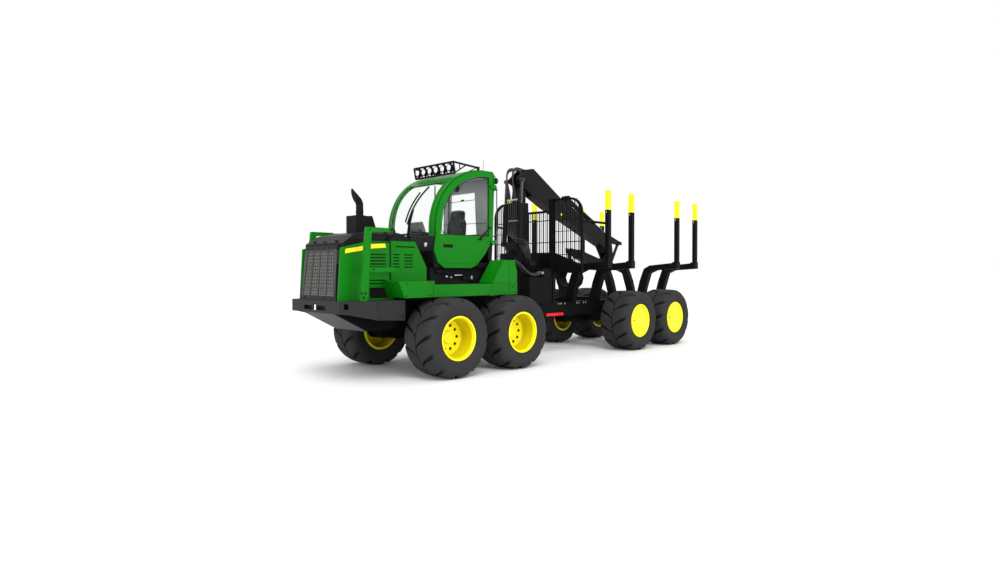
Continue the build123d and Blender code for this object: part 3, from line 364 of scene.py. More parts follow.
dress(hood_green, "access_rails")
bolt_dark = finish("bolt_dark_steel", (0.012, 0.012, 0.013), rough=0.4, metal=0.5)
heads = both(bolts, [(x, 0.861, z) for x, z in ((4.545, 1.4), (4.48, 1.4), (4.512, 1.335))], (0, 1, 0), 0.014)
heads += both(bolts, [(x, 0.861, z) for x, z in ((4.4, 2.365), (4.33, 1.755))], (0, 1, 0), 0.009)
fit(heads, "access_post_bolts", bolt_dark, flat=True)
rails = both(tube, [
    (4.06, 0.835, 2.372), (4.0, 0.835, 2.376), (3.935, 0.835, 2.39), (3.905, 0.82, 2.34), (3.895, 0.74, 2.29),
    (3.89, 0.62, 2.27), (3.89, 0.54, 2.26),
], 0.013)
fit(rails, "access_handrails", rubber_black)

# Hood lid and grille frame
# Moulded lid in satin black with its catches, and the pressed grille frame below it, which
# is greyer over the wire mesh.


def repaint(made, mask, colour):
    """Lays a second colour over a finish where the mask is 1."""
    shader = made.node_tree.nodes["Principled BSDF"]
    below = shader.inputs["Base Color"].links[0].from_socket
    wire(made, shader, {"Base Color": mix(made, mask, below, (*colour, 1))})


def reckon(made, kind, *values):
    """One step of arithmetic on masks and numbers."""
    node = add_node(made, "Math")
    node.operation = kind
    wire(made, node, dict(enumerate(values)))
    return node.outputs[0]


def zone(made, low, high):
    """A mask that is 1 inside a box between two corners, in the frame's metres."""
    place = add_node(made, "TexCoord").outputs["Object"]
    mask = 1
    for axis, start, end in zip(add_node(made, "SeparateXYZ", {0: place}).outputs, low, high):
        inside = reckon(made, "COMPARE", axis, (start + end) / 2, abs(end - start) / 2)
        mask = reckon(made, "MULTIPLY", mask, inside)
    return mask


dress(finish("hood_lid_black", (0.005, 0.005, 0.0054), rough=0.42, shade=0.2, grain=0.0012, shine=0.1),
      "hood_top")
grille_black = finish("grille_frame_black", (0.01, 0.01, 0.0105), rough=0.42, shade=0.2, grain=0.001,
                      shine=0.15)
repaint(grille_black, zone(grille_black, (4.6, -0.5, 1.35), (4.9, 0.5, 2.062)), (0.05, 0.049, 0.047))
dress(grille_black, "grille")
catches = both(brick, (4.64, 0.3, 2.196), (4.69, 0.36, 2.206), 0.006)
catches += both(brick, (4.0, 0.56, 2.214), (4.06, 0.5765, 2.24), 0.004)
catches.append(brick((4.66, -0.05, 2.188), (4.685, 0.05, 2.2), 0.005))
fit(catches, "hood_lid_catches", rubber_black)

# Grille mesh
# Woven wire behind the four columns of the grille's frame, leaning with it, in grey
# paint, with a row of upright fins and small clips in the lower band.


def grille_x(z):
    """Distance forward of the mesh at a height."""
    return 4.805 - 0.07 * (z - 1.28) / 0.85 - 0.014


def grille_half(z):
    """Half the width of the mesh at a height."""
    return 0.55 - 0.075 * (z - 1.28) / 0.85 - 0.062


def level(z, forward, radius, sides=4):
    """A wire across the grille at a height, shifted forward from the mesh."""
    x = grille_x(z) + forward
    return rod((x, -grille_half(z), z), (x, grille_half(z), z), radius, sides)


def upright(share, low, high, forward, radius, sides=4):
    """A wire between two heights, at a share of the half width, shifted forward from the mesh."""
    foot = (grille_x(low) + forward, grille_half(low) * share, low)
    return rod(foot, (grille_x(high) + forward, grille_half(high) * share, high), radius, sides)


mesh_grey = finish("grille_wire_grey", (0.215, 0.211, 0.203), rough=0.5, shade=0.15, shine=0.2)
wires = [level(1.497 + number * 0.0137, 0, 0.0038) for number in range(41)]
wires += [upright(number / 24.5, 1.49, 2.06, -0.005, 0.0042) for number in range(-24, 25)]
wires += [level(1.354 + number * 0.0135, 0, 0.0035) for number in range(10)]
wires += [upright(number / 14.3, 1.35, 1.47, -0.004, 0.0055) for number in range(-14, 15)]
for number in range(-9, 10):
    x, y = grille_x(1.36), grille_half(1.36) * number / 9.6
    wires.append(brick((x - 0.002, y - 0.009, 1.352), (x + 0.008, y + 0.009, 1.366), 0.002))
fit(wires, "grille_wire_mesh", mesh_grey, flat=True)
ribs = [level(1.375 + number * 0.0545, 0.006, 0.0055, 6) for number in range(13)]
ribs += [upright(number / 6.5, 1.36, 2.06, 0.004, 0.0045, 6) for number in range(-6, 7)]
fit(ribs, "grille_bracing_wires", grille_black)
backing_grey = finish("grille_backing_grey", (0.075, 0.074, 0.072), rough=0.7, shade=0.3, size=14, shine=0.2)
backing = []
for low, high in ((1.352, 1.468), (1.493, 2.058)):
    foot, head = grille_half(low), grille_half(high)
    sheet = plate([(-foot, low), (foot, low), (head, high), (-head, high)], "front", 0, 0.002)
    for vertex in sheet.data.vertices:
        vertex.co.x += grille_x(vertex.co.z) - 0.0165
    backing.append(sheet)
fit(backing, "grille_backing", backing_grey, flat=True)
clips = bolts([(grille_x(2.09) + 0.016, 0.41 * share, 2.092) for share in (-1, -0.6, -0.2, 0.2, 0.6, 1)],
              (1, 0, 0), 0.008)
clips += bolts([(grille_x(1.31) + 0.016, y, 1.315) for y in (-0.42, 0.16, 0.2, 0.42)], (1, 0, 0), 0.008)
fit(clips, "grille_bolts", bolt_dark, flat=True)

# Exhaust
# Silencer box and curved pipe in heat-proof black, with a band clamp and a welded collar.
exhaust_black = finish("exhaust_heat_black", (0.006, 0.0058, 0.0056), rough=0.46, shade=0.3, grain=0.001,
                       size=9, shine=0.07)
dress(exhaust_black, "exhaust")
bands = [
    rod((4.03, 0, 2.638), (4.03, 0, 2.652), 0.086, 40, 0.003),
    rod((4.03, 0, 2.69), (4.03, 0, 2.722), 0.0635, 40, 0.002),
    rod((4.03, 0.066, 2.706), (4.03, 0.082, 2.706), 0.012, 10, 0.001),
]
bands += bolts([(x, y, 2.64) for x in (3.9, 4.16) for y in (-0.13, 0.13)], (0, 0, 1), 0.009)
fit(bands, "exhaust_clamp_band", exhaust_black)

# Skirt and belly plate
# Bent steel skirt in dark grey with a bolted seam, a bright tow pin in its notch, and a
# grey plate under the sloping nose.
TOW_PIN = ((4.806, -0.024, 1.128), (4.852, 0.024, 1.214))
NOSE_SLOPE = 0.32 / 0.605
skirt_grey = finish("skirt_dark_grey", (0.02, 0.02, 0.0215), rough=0.48, shade=0.15, grain=0.001, shine=0.12)
repaint(skirt_grey, zone(skirt_grey, *TOW_PIN), (0.8, 0.8, 0.8))
dress(skirt_grey, "skirt")
seams = both(brick, (4.352, 1.0005, 0.998), (4.357, 0.998, 1.279))
seams += both(brick, (4.351, 0.9975, 0.995), (4.356, 1.0005, 1.279))
fit(seams, "skirt_seams", rubber_black, flat=True)
heads = both(bolts, [(x, 1.0, z) for x, z in (
    (3.885, 1.236), (3.885, 1.048), (3.93, 1.03), (3.885, 1.005), (4.3, 1.24), (4.3, 1.02),
)], (0, 1, 0), 0.012)
fit(heads, "skirt_bolts", bolt_dark, flat=True)
plate_grey = finish("belly_plate_grey", (0.075, 0.075, 0.077), rough=0.55, shade=0.4, size=3, shine=0.1)
belly = []
for x0, x1 in ((4.215, 4.5), (4.508, 4.795)):
    z0, z1 = 0.78 + (x0 - 4.2) * NOSE_SLOPE, 0.78 + (x1 - 4.2) * NOSE_SLOPE
    belly.append(plate([(x0, z0 - 0.014), (x1, z1 - 0.014), (x1, z1 - 0.002), (x0, z0 - 0.002)],
                       "side", -0.47, 0.94, 0.002))
fit(belly, "belly_plate", plate_grey, flat=True)

# Tyres
# Eight wide flotation tyres of black rubber, moulded in one piece: a rounded carcass with
# fine ribs on the side walls, and two offset rows of broad lugs between slanted grooves.
TREAD_RADIUS = 0.652
TREAD_DEPTH = 0.03
LUGS = 12
PITCH = 2 * pi / LUGS
TREAD_HALF = 0.352
LUG_START = 0.011


def lathe(points, steps=96, close=False):
    """Spins a line of (y, radius) points round the Y axis in edit mode."""
    bpy.ops.mesh.primitive_plane_add(size=0.01)
    piece = bpy.context.object
    bpy.ops.object.mode_set(mode="EDIT")
    bpy.ops.mesh.select_all(action="SELECT")
    bpy.ops.mesh.merge(type="CENTER")
    bpy.ops.transform.translate(value=(0, points[0][0], points[0][1]))
    for (y0, r0), (y1, r1) in zip(points, points[1:]):
        bpy.ops.mesh.extrude_region_move(TRANSFORM_OT_translate={"value": (0, y1 - y0, r1 - r0)})
    bpy.ops.mesh.select_all(action="SELECT")
    if close:
        bpy.ops.mesh.edge_face_add()
        bpy.ops.mesh.delete(type="ONLY_FACE")
        bpy.ops.mesh.select_all(action="SELECT")
    bpy.ops.mesh.spin(steps=steps, angle=2 * pi, center=(0, 0, 0), axis=(0, 1, 0))
    bpy.ops.mesh.select_all(action="SELECT")
    bpy.ops.mesh.remove_doubles(threshold=0.0002)
    bpy.ops.mesh.normals_make_consistent(inside=False)
    bpy.ops.object.mode_set(mode="OBJECT")
    return piece


def crown(y):
    """Outer radius of the tread at a distance from the tyre's middle plane."""
    table = ((0, 0.652), (0.155, 0.652), (0.245, 0.6475), (0.29, 0.637), (0.32, 0.617), (0.342, 0.586),
             (0.352, 0.56))
    y = abs(y)
    for (y0, r0), (y1, r1) in zip(table, table[1:]):
        if y <= y1:
            return r0 + (r1 - r0) * (y - y0) / (y1 - y0)
    return table[-1][1]


def duplicate(piece):
    """A copy with a mesh of its own."""
    twin = piece.copy()
    twin.data = piece.data.copy()
    bpy.context.collection.objects.link(twin)
    return twin


half_wall = [
    (0.3037, 0.3373), (0.3037, 0.374), (0.314, 0.379), (0.3215, 0.392), (0.3225, 0.398), (0.3255, 0.4),
    (0.3335, 0.424), (0.3365, 0.426), (0.3435, 0.462), (0.349, 0.49), (0.3525, 0.508), (0.3535, 0.528),
    (0.35, 0.552), (0.333, 0.584), (0.306, 0.605), (0.24, 0.6175), (0.12, 0.6215),
]
carcass = lathe(half_wall + [(-y, r) for y, r in reversed(half_wall)], steps=120, close=True)

# shares of the way along and across a lug, closer together at its edges for a small chamfer
along_steps = (0, 0.018, 0.16, 0.34, 0.5, 0.66, 0.84, 0.982, 1)
across_steps = (0, 0.018, 0.14, 0.28, 0.42, 0.56, 0.7, 0.8, 0.88, 0.94, 0.985, 1)
lug_rows = []
for side in (-1, 1):
    bpy.ops.mesh.primitive_grid_add(x_subdivisions=8, y_subdivisions=11, size=1)
    lug = bpy.context.object
    bpy.ops.object.mode_set(mode="EDIT")
    bpy.ops.mesh.select_all(action="SELECT")
    bpy.ops.mesh.extrude_region_move(TRANSFORM_OT_translate={"value": (0, 0, 1)})
    bpy.ops.object.mode_set(mode="OBJECT")
    for point in lug.data.vertices:
        column = round((point.co.x + 0.5) * 8)
        row = round((point.co.y + 0.5) * 11)
        top = point.co.z > 0.5
        along = along_steps[column]
        across = across_steps[row]
        reach = LUG_START + across * (TREAD_HALF - LUG_START)
        groove = 0.036 + 0.048 * reach / TREAD_HALF
        # the groove leans back, with a hook near the middle as on the real tread
        hook = 0.045 * max(0, 1 - reach / 0.085)
        start = -0.507 * reach + hook + groove / 2
        run = PITCH * TREAD_RADIUS - groove
        wall = 0 if top else 0.02 * (along - 0.5)
        lift = 0 if top else -TREAD_DEPTH - 0.01
        if top and (column in (0, 8) or row in (0, 11)):
            lift = -0.005
        angle = (start + run * along + wall) / TREAD_RADIUS + PITCH * side / 4
        radius = crown(reach) + lift
        if not top and reach > 0.32:
            reach -= 0.014
        point.co = (radius * sin(angle), side * reach, radius * cos(angle))
    bpy.ops.object.mode_set(mode="EDIT")
    bpy.ops.mesh.select_all(action="SELECT")
    bpy.ops.mesh.normals_make_consistent(inside=False)
    bpy.ops.object.mode_set(mode="OBJECT")
    for number in range(LUGS):
        lug_rows.append(duplicate(lug))
        lug_rows[-1].matrix_world = Matrix.Rotation(PITCH * number, 4, "Y")
    bpy.data.objects.remove(lug)
tyre_model = smooth(join([carcass] + lug_rows), 30)
# marks the floor of the grooves, where the rubber gets a painted shade, darker the deeper it lies
groove_shade_mark = tyre_model.data.attributes.new("groove_painted_shade", "FLOAT", "POINT")
for place, mark in zip(tyre_model.data.vertices, groove_shade_mark.data):
    radius = sqrt(place.co.x ** 2 + place.co.z ** 2)
    mark.value = min(1, max(0, (crown(place.co.y) - radius - 0.006) / 0.02)) if radius > 0.585 else 0


def drawn_mask(made, name):
    """The mask that a mesh keeps as an attribute."""
    node = add_node(made, "Attribute")
    node.attribute_name = name
    return node.outputs["Fac"]


TRACK = 1.09
tyre_rubber = finish("tyre_rubber", (0.027, 0.0265, 0.027), rough=0.68, shade=0.14, grain=0.0025, size=7,
                     shine=0.12)
# painted shade: the groove floors are painted near black in place of the shade that falls in the grooves
repaint(tyre_rubber, drawn_mask(tyre_rubber, "groove_painted_shade"), (0.004, 0.004, 0.004))
wheel_centres = {1: 3.08, 2: 1.58, 3: -2.224, 4: -3.724}
for number, x in wheel_centres.items():
    for side, sign in (("left", 1), ("right", -1)):
        piece = duplicate(tyre_model)
        # the right wheel's rows are the left's, half a pitch on
        turn = Matrix.Rotation(PITCH / 2 if sign < 0 else 0, 4, "Y")
        piece.matrix_world = Matrix.Translation((x, sign * TRACK, TREAD_RADIUS)) @ turn
        settle(piece, f"treaded_tyre_{side}_{number}", tyre_rubber, f"wheel_{side}_{number}")
        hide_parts(f"tyre_{side}_{number}")
bpy.data.objects.remove(tyre_model)

# Rims
# Steel rims in yellow enamel: a rolled well with a bead flange and a step ring, and a disc
# welded in. The front discs lie deep and show ten dark bolts, the rear ones lie shallow
# and bulge a little, with one dark plug.


def circle(count, radius, start=0.0):
    """Points evenly spaced on a circle, as pairs of distances from its centre."""
    angles = [2 * pi * number / count + start for number in range(count)]
    return [(radius * cos(angle), radius * sin(angle)) for angle in angles]


wheel_yellow = finish("wheel_yellow_enamel", (0.9, 0.79, 0.002), rough=0.3, shade=0.03, coat=0.15, size=3,
                      shine=0.25)
repaint(wheel_yellow, drawn_mask(wheel_yellow, "rim_well"), (0.6, 0.5, 0.0015))
# each point is a distance out from the wheel's middle plane and a radius
rim_line = [
    (-0.318, 0.322), (-0.318, 0.356), (-0.314, 0.362), (-0.308, 0.362), (-0.304, 0.356), (-0.304, 0.337),
    (0.304, 0.337), (0.304, 0.356), (0.308, 0.362), (0.314, 0.362), (0.318, 0.357), (0.318, 0.338),
    (0.31, 0.33),
]
front_disc = [
    (0.272, 0.327), (0.258, 0.318), (0.246, 0.316), (0.236, 0.322), (0.22, 0.32), (0.1, 0.312), (0.06, 0.31),
    (0.026, 0.306), (0.014, 0.296), (0.014, 0.286), (0.01, 0.28), (0.01, 0.112), (0.04, 0.096), (0.04, 0.0),
]
rear_disc = [
    (0.292, 0.322), (0.284, 0.306), (0.276, 0.296), (0.276, 0.288), (0.288, 0.27), (0.295, 0.23), (0.3, 0.12),
    (0.302, 0.0),
]
hub_bolts = bolts([(x, 0.012, z) for x, z in circle(10, 0.2)], (0, 1, 0), 0.017, 0.018)
plug = [rod((0.225, 0.29, 0.012), (0.225, 0.3, 0.012), 0.019, 20, 0.003)]
for numbers, disc_line, dish, fasteners in (
    ((1, 2), front_disc, 0.01, hub_bolts),
    ((3, 4), rear_disc, 0.268, plug),
):
    rim_face = lathe(rim_line + disc_line, steps=120)
    back = lathe([(-0.318, 0.322), (dish - 0.02, 0.322), (dish - 0.02, 0.115), (dish - 0.075, 0.11),
                  (dish - 0.075, 0.0)])
    rim_model = smooth(join([rim_face, back]), 24)
    # marks the wall of the well, which lies in shade behind the flange
    shade_mark = rim_model.data.attributes.new("rim_well", "FLOAT", "POINT")
    for place, mark in zip(rim_model.data.vertices, shade_mark.data):
        radius = sqrt(place.co.x ** 2 + place.co.z ** 2)
        mark.value = 1 if 0.29 < radius < 0.3235 and place.co.y < 0.28 else 0
    bolt_model = join(fasteners)
    pick(bolt_model)
    bpy.ops.object.transform_apply(location=True, rotation=True, scale=True)
    for number in numbers:
        for side, sign in (("left", 1), ("right", -1)):
            wheel = f"wheel_{side}_{number}"
            flip = Matrix.Rotation(pi if sign < 0 else 0, 4, "Z")
            place = Matrix.Translation((wheel_centres[number], sign * TRACK, TREAD_RADIUS)) @ flip
            disc = duplicate(rim_model)
            disc.matrix_world = place
            settle(disc, f"pressed_rim_{side}_{number}", wheel_yellow, wheel)
            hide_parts(f"rim_{side}_{number}")
            fastener = duplicate(bolt_model)
            fastener.matrix_world = place
            settle(fastener, f"wheel_bolts_{side}_{number}", bolt_dark, wheel)
    bpy.data.objects.remove(rim_model)
    bpy.data.objects.remove(bolt_model)

# Deck boxes and tanks
# Green sheet-steel boxes on both sides of the dark cab deck, with lids parted by black
# seams, small bolts, a filler neck and the rear tank's pressed joint.
dress(hood_green, "deck_sides", "rear_tanks")
SEAM = 0.0035
DECK_SIDE = 1.0495
gaps = both(brick, (1.362, DECK_SIDE, 1.513), (2.0, 1.0505, 1.5175))
for x0, z0, x1, z1 in (
    (3.322, 1.313, 3.322, 1.516), (2.075, 1.313, 1.95, 1.5155), (1.578, 1.517, 1.578, 1.934),
    (1.578, 1.313, 1.578, 1.514),
):
    outline = [(x0 - SEAM, z0), (x0 + SEAM, z0), (x1 + SEAM, z1), (x1 - SEAM, z1)]
    gaps += [plate(outline, "side", side * DECK_SIDE, side * 0.0012) for side in (-1, 1)]
fit(gaps, "deck_box_seams", rubber_black, flat=True)
knobs = both(bolts, [(x, 1.05, z) for x, z in (
    (1.478, 1.451), (1.42, 1.35), (1.42, 1.48), (3.85, 1.54), (3.4, 1.545), (3.4, 1.345), (3.86, 1.345),
)], (0, 1, 0), 0.009)
knobs += both(bolts, [(x, 1.02, 1.575) for x in (3.36, 3.56, 3.76, 3.96)], (0, 0, 1), 0.009)
knobs += both(rod, (1.56, 0.86, 1.93), (1.56, 0.86, 1.955), 0.055, 32, 0.006)
fit(knobs, "deck_box_fittings", bolt_dark)
deck_black = finish("deck_anti_slip_black", (0.008, 0.008, 0.0085), rough=0.7, shade=0.35, grain=0.004,
                    size=30, shine=0.1)
dress(deck_black, "deck_centre", "cab_base")
treads = []
for number in range(11):
    x = 2.06 + number * 0.115
    treads += both(brick, (x, 0.7, 1.5145), (x + 0.08, 1.02, 1.5195), 0.002, 1)
fit(treads, "deck_step_treads", deck_black, flat=True)
FRONT_BOGIE = 2.33
turntable = [
    rod((FRONT_BOGIE, 0, 1.52), (FRONT_BOGIE, 0, 1.56), 0.64, 72, 0.008),
    rod((FRONT_BOGIE, 0, 1.64), (FRONT_BOGIE, 0, 1.69), 0.6, 72, 0.01),
    brick((2.05, 0.555, 1.565), (2.3, 0.64, 1.64), 0.012),
    brick((2.62, 0.555, 1.7), (2.9, 0.62, 1.76), 0.012),
]
turntable += bolts([(FRONT_BOGIE + x, y, 1.56) for x, y in circle(24, 0.615)], (0, 0, 1), 0.012, 0.014)
fit(turntable, "cab_turntable", rubber_black)
fitting_zinc = finish("pipe_fitting_zinc", (0.55, 0.55, 0.54), rough=0.35, shade=0.1, metal=0.6, size=12)
bits = [
    brick((2.1, 0.64, 1.59), (2.135, 0.65, 1.65), 0.004),
    brick((2.34, 0.641, 1.655), (2.52, 0.648, 1.672), 0.003),
    rod((2.7, 0.62, 1.64), (2.7, 0.65, 1.64), 0.018, 12, 0.002),
    rod((2.6, 0.62, 1.625), (2.6, 0.65, 1.625), 0.014, 12, 0.002),
]
fit(bits, "turntable_fittings", fitting_zinc)

# Frames and axles
# Welded box frames in black paint, duller on the cast bogie cases, with bolted bearing
# caps at each bogie's middle.
frame_black = finish("frame_black_paint", (0.004, 0.004, 0.0043), rough=0.5, shade=0.3, grain=0.001,
                     shine=0.08)
axle_black = finish("axle_black_casting", (0.005, 0.005, 0.0053), rough=0.62, shade=0.35, grain=0.003, size=6,
                    shine=0.12)
dress(frame_black, "front_frame", "rear_frame", "engine_block", "crane_base", "side_chests", "bunks",
      "stakes", "headboard")
dress(axle_black, "front_axle", "rear_axle", "pivot_link")
for name, centre in (("front", FRONT_BOGIE), ("rear", -2.974)):
    caps = both(rod, (centre, 0.69, TREAD_RADIUS), (centre, 0.725, TREAD_RADIUS), 0.165, 48, 0.008)
    places = [(centre + x, 0.725, TREAD_RADIUS + z) for x, z in circle(12, 0.14)]
    caps += both(bolts, places, (0, 1, 0), 0.012, 0.012)
    fit(caps, f"{name}_bogie_bearing_caps", axle_black, f"{name}_frame")

# Crane steelwork
# Box boom and stick in dark grey paint, bolted keeper plates over the pins, cast knuckles
# and grapple in duller black, and dark ground rods.
crane_grey = finish("crane_dark_grey", (0.005, 0.005, 0.0054), rough=0.44, shade=0.15, grain=0.0009,
                    shine=0.12)
dress(crane_grey, "crane_pillar", "main_boom", "stick", "stick_extension", "lift_barrels", "stick_barrel",
      "bell_crank", "stick_link")
dress(axle_black, "rotator", "grapple_head", "claw_left", "claw_right")
rod_chrome = finish("cylinder_rod_chrome", (0.065, 0.065, 0.068), rough=0.24, shade=0.02, metal=1.0,
                    grain=0.0001)
dress(rod_chrome, "lift_rods", "stick_rod")
# each pin is x, z, half the width over its eyes, and the keeper's radius
for name, body, pins in (
    ("boom", "main_boom", ((0.08, 3.56, 0.123, 0.075), (-2.92, 2.13, 0.123, 0.072),
                           (-2.896, 2.486, 0.123, 0.048), (-1.35, 3.39, 0.085, 0.044))),
    ("pillar", "crane_pillar", ((0.41, 2.29, 0.27, 0.042),)),
    ("crank", "bell_crank", ((-3.404, 2.435, 0.052, 0.038),)),
    ("extension", "stick_extension", ((-1.49, 2.1975, 0.0745, 0.036),)),
):
    keepers = []
    for x, z, half, radius in pins:
        keepers += both(rod, (x, half - 0.004, z), (x, half + 0.012, z), radius, 32, 0.003)
        places = [(x + across, half + 0.012, z + up) for across, up in circle(3, radius * 0.6, 0.5)]
        keepers += both(bolts, places, (0, 1, 0), 0.008)
    fit(keepers, f"{name}_pin_keepers", axle_black, body)

# Stakes, tips and lock bar
# Steel stakes with yellow reflective tips, each held by a bolt through its pocket, and
# the red bar that locks the middle joint for transport.
dress(finish("stake_tip_yellow", (0.97, 0.9, 0.006), rough=0.35, shade=0.03), "stake_tips")
dress(finish("lock_bar_red", (0.72, 0.004, 0.006), rough=0.32, shade=0.06), "lock_bar")
heads = []
marks = []
for x in (-1.0, -1.86, -3.8, -4.68):
    for front in (-1, 1):
        end_x = x + front * 0.07
        heads += both(bolts, [(end_x, 1.4, z) for z in (1.86, 1.925)], (front, 0, 0), 0.011)
        heads += both(bolts, [(end_x, y, 1.118) for y in (0.345, 0.405)], (front, 0, 0), 0.013)
    marks += both(brick, (x + 0.0455, 1.375, 2.935), (x + 0.0475, 1.395, 2.972), 0.0008)
fit(heads, "bunk_bolts", bolt_dark, "rear_frame", flat=True)
for x in (-0.56, -0.64, -0.76, -1.18, -1.25, -1.42, -1.5, -2.3, -2.42, -4.2, -4.28):
    marks += both(bolts, [(x, 0.4505, 1.045)], (0, 1, 0), 0.011)
fit(marks, "stake_pins", fitting_zinc, "rear_frame", flat=True)

# Cab shell
# A welded frame in green enamel outside, light grey trim inside, and a black front panel
# and floor pan below the window line.
TRIM_GREY = (0.4, 0.41, 0.42)
CAB_MIDDLE = (2.25, 0.0, 2.7)
cab_paint = hood_green.copy()
cab_paint.name = "cab_green_and_trim"
repaint(cab_paint, zone(cab_paint, (1.4, -0.64, 1.7), (3.2, 0.662, 2.335)), (0.005, 0.005, 0.0055))
coordinates = add_node(cab_paint, "TexCoord").outputs
from_middle = add_node(cab_paint, "VectorMath", {0: coordinates["Object"], 1: CAB_MIDDLE})
from_middle.operation = "SUBTRACT"
facing = add_node(cab_paint, "VectorMath", {0: from_middle.outputs["Vector"], 1: coordinates["Normal"]})
facing.operation = "DOT_PRODUCT"
inward = reckon(cab_paint, "LESS_THAN", facing.outputs["Value"], -0.1)
inside = reckon(cab_paint, "MULTIPLY", inward, zone(cab_paint, (1.58, -0.64, 2.3), (3.02, 0.64, 3.54)))
repaint(cab_paint, inside, TRIM_GREY)
dress(cab_paint, "cab_shell")

# Cab trim
# Light grey moulded trim on the rear wall round a low rear window, with a round speaker,
# a thin window bar and latch, and the headliner's front edge.
trim_grey = finish("cab_trim_grey", TRIM_GREY, rough=0.6, shade=0.06, grain=0.002, size=4)
trim = [
    plate([(-0.612, 3.215), (0.612, 3.215), (0.612, 3.47), (-0.612, 3.47)], "front", 1.656, 0.018, 0.004),
    plate([(0.29, 2.42), (0.612, 2.42), (0.612, 3.213), (0.24, 3.213)], "front", 1.66, 0.018, 0.004),
    plate([(-0.612, 2.42), (-0.552, 2.42), (-0.545, 3.213), (-0.612, 3.213)], "front", 1.66, 0.018, 0.004),
    plate([(-0.56, 3.42), (0.56, 3.42), (0.56, 3.452), (-0.56, 3.452)], "front", 1.7, 0.56, 0.006),
]
fit(trim, "cab_inner_trim", trim_grey)
cab_dark = finish("cab_inside_plastic", (0.018, 0.018, 0.019), rough=0.55, shade=0.2, grain=0.002, size=8)
dark_bits = [
    rod((1.672, -0.264, 3.345), (1.69, -0.264, 3.345), 0.078, 40, 0.004),
    rod((1.688, -0.264, 3.345), (1.694, -0.264, 3.345), 0.058, 32, 0.002),
    brick((1.61, -0.56, 3.084), (1.622, 0.24, 3.094), 0.002),
    brick((1.61, -0.205, 3.094), (1.63, -0.125, 3.12), 0.005),
    rod((1.945, -0.6, 2.42), (1.945, -0.6, 3.4), 0.013, 10),
    rod((1.64, -0.604, 3.185), (1.945, -0.604, 3.185), 0.009, 10),
    tube([(2.96, -0.56, 2.38), (2.97, -0.3, 2.385), (2.975, 0, 2.39), (2.97, 0.3, 2.385), (2.96, 0.56, 2.38)],
         0.022),
]
fit(dark_bits, "cab_speaker_and_latches", cab_dark)
rear_rail = tube([(1.7, -0.6, 2.65), (1.69, -0.3, 2.64), (1.69, 0.25, 2.632), (1.7, 0.6, 2.625)], 0.006)
fit([rear_rail], "cab_rear_rail", hood_green)

# Cab panes
# Clear curved and flat panes with a faint green edge, set in black rubber, between two
# green pillars on the windscreen.


def screen_x(z):
    """Distance forward of the windscreen's outer face at a height."""
    return 1.9358 + sqrt(1.0656 ** 2 - (z - 2.4764) ** 2)


def screen_line(heights, forward, y):
    """Points up the windscreen at one Y, shifted forward from it."""
    return [(screen_x(z) + forward, y, z) for z in heights]


pane = bpy.data.materials.new("cab_pane_glass")
pane.use_nodes = True
pane_place = add_node(pane, "TexCoord").outputs["Object"]
pane_haze = add_node(pane, "TexNoise", {"Scale": 1.5, "Vector": pane_place}).outputs["Fac"]
wire(pane, pane.node_tree.nodes["Principled BSDF"], {
    "Roughness": 0.0, "Transmission Weight": 1.0, "IOR": 1.12,
    "Base Color": mix(pane, pane_haze, (0.955, 0.985, 0.97, 1), (0.985, 0.998, 0.99, 1)),
})
dress(pane, "cab_glass", "door_glass")
SCREEN_HEIGHTS = (2.48, 2.62, 2.78, 2.93, 3.08, 3.2)
pillars = [tube(screen_line((2.345, *SCREEN_HEIGHTS, 3.3), 0.006, y), 0.017) for y in (-0.485, 0.548)]
fit(pillars, "windscreen_pillars", hood_green)
screen_seal = both(tube, screen_line((2.35, *SCREEN_HEIGHTS, 3.285), -0.01, 0.566), 0.009)
for x, z in ((screen_x(3.285) - 0.006, 3.285), (2.99, 2.345)):
    screen_seal.append(rod((x, -0.566, z), (x, 0.566, z), 0.011, 10))
fit(screen_seal, "windscreen_seal", rubber_black)

# Wipers
# Two parallel black arms from the foot of the windscreen, carrying a long blade each.
wiper = []
for y in (-0.08, -0.04):
    arm = ((2.26, 0), (2.4, 0.25), (2.6, 0.6), (2.8, 1))
    wiper.append(tube([(screen_x(z) + 0.024, y + 0.1 * share, z) for z, share in arm], 0.012))
for low_y, low_z, high_y, high_z in ((-0.07, 2.56, 0.15, 3.24), (-0.13, 2.6, 0.01, 3.14)):
    line = []
    for number in range(7):
        share = number / 6
        z = low_z + (high_z - low_z) * share
        line.append((screen_x(z) + 0.012, low_y + (high_y - low_y) * share, z))
    wiper.append(tube(line, 0.015))
wiper.append(rod((screen_x(2.8) + 0.004, 0.035, 2.8), (screen_x(2.8) + 0.034, 0.035, 2.805), 0.026, 16,
                 0.004))
wiper.append(rod((2.985, -0.06, 2.255), (3.045, -0.06, 2.255), 0.034, 20, 0.005))
wiper.append(brick((2.985, -0.1, 2.215), (3.03, -0.02, 2.295), 0.01))
fit(wiper, "windscreen_wipers", rubber_black)

# Front panel lamp and bolts
# A small square lamp and four bolts on the black panel below the windscreen.
lamp_white = finish("lamp_lens_clear", (0.72, 0.74, 0.76), rough=0.08, shade=0.06, coat=1.0, size=30)
fit([brick((3.0, 0.44, 2.15), (3.036, 0.5, 2.22), 0.008)], "front_panel_lamp", lamp_white)
panel_bolts = bolts([(3.02, y, z) for y in (-0.56, 0.57) for z in (1.9, 2.06)], (1, 0, 0.1), 0.012)
fit(panel_bolts, "front_panel_bolts", bolt_dark, flat=True)

# Cab door
# A pressed green door with a rubber seal round its edge and window, an oval black
# handle, and a black gas strut at the rear of the window.
dress(hood_green, "cab_door")


def door_tube(line, y, radius):
    """A bead along (x, z) points on the door, on the plane at y."""
    return tube([(x, y, z) for x, z in line], radius, 3)


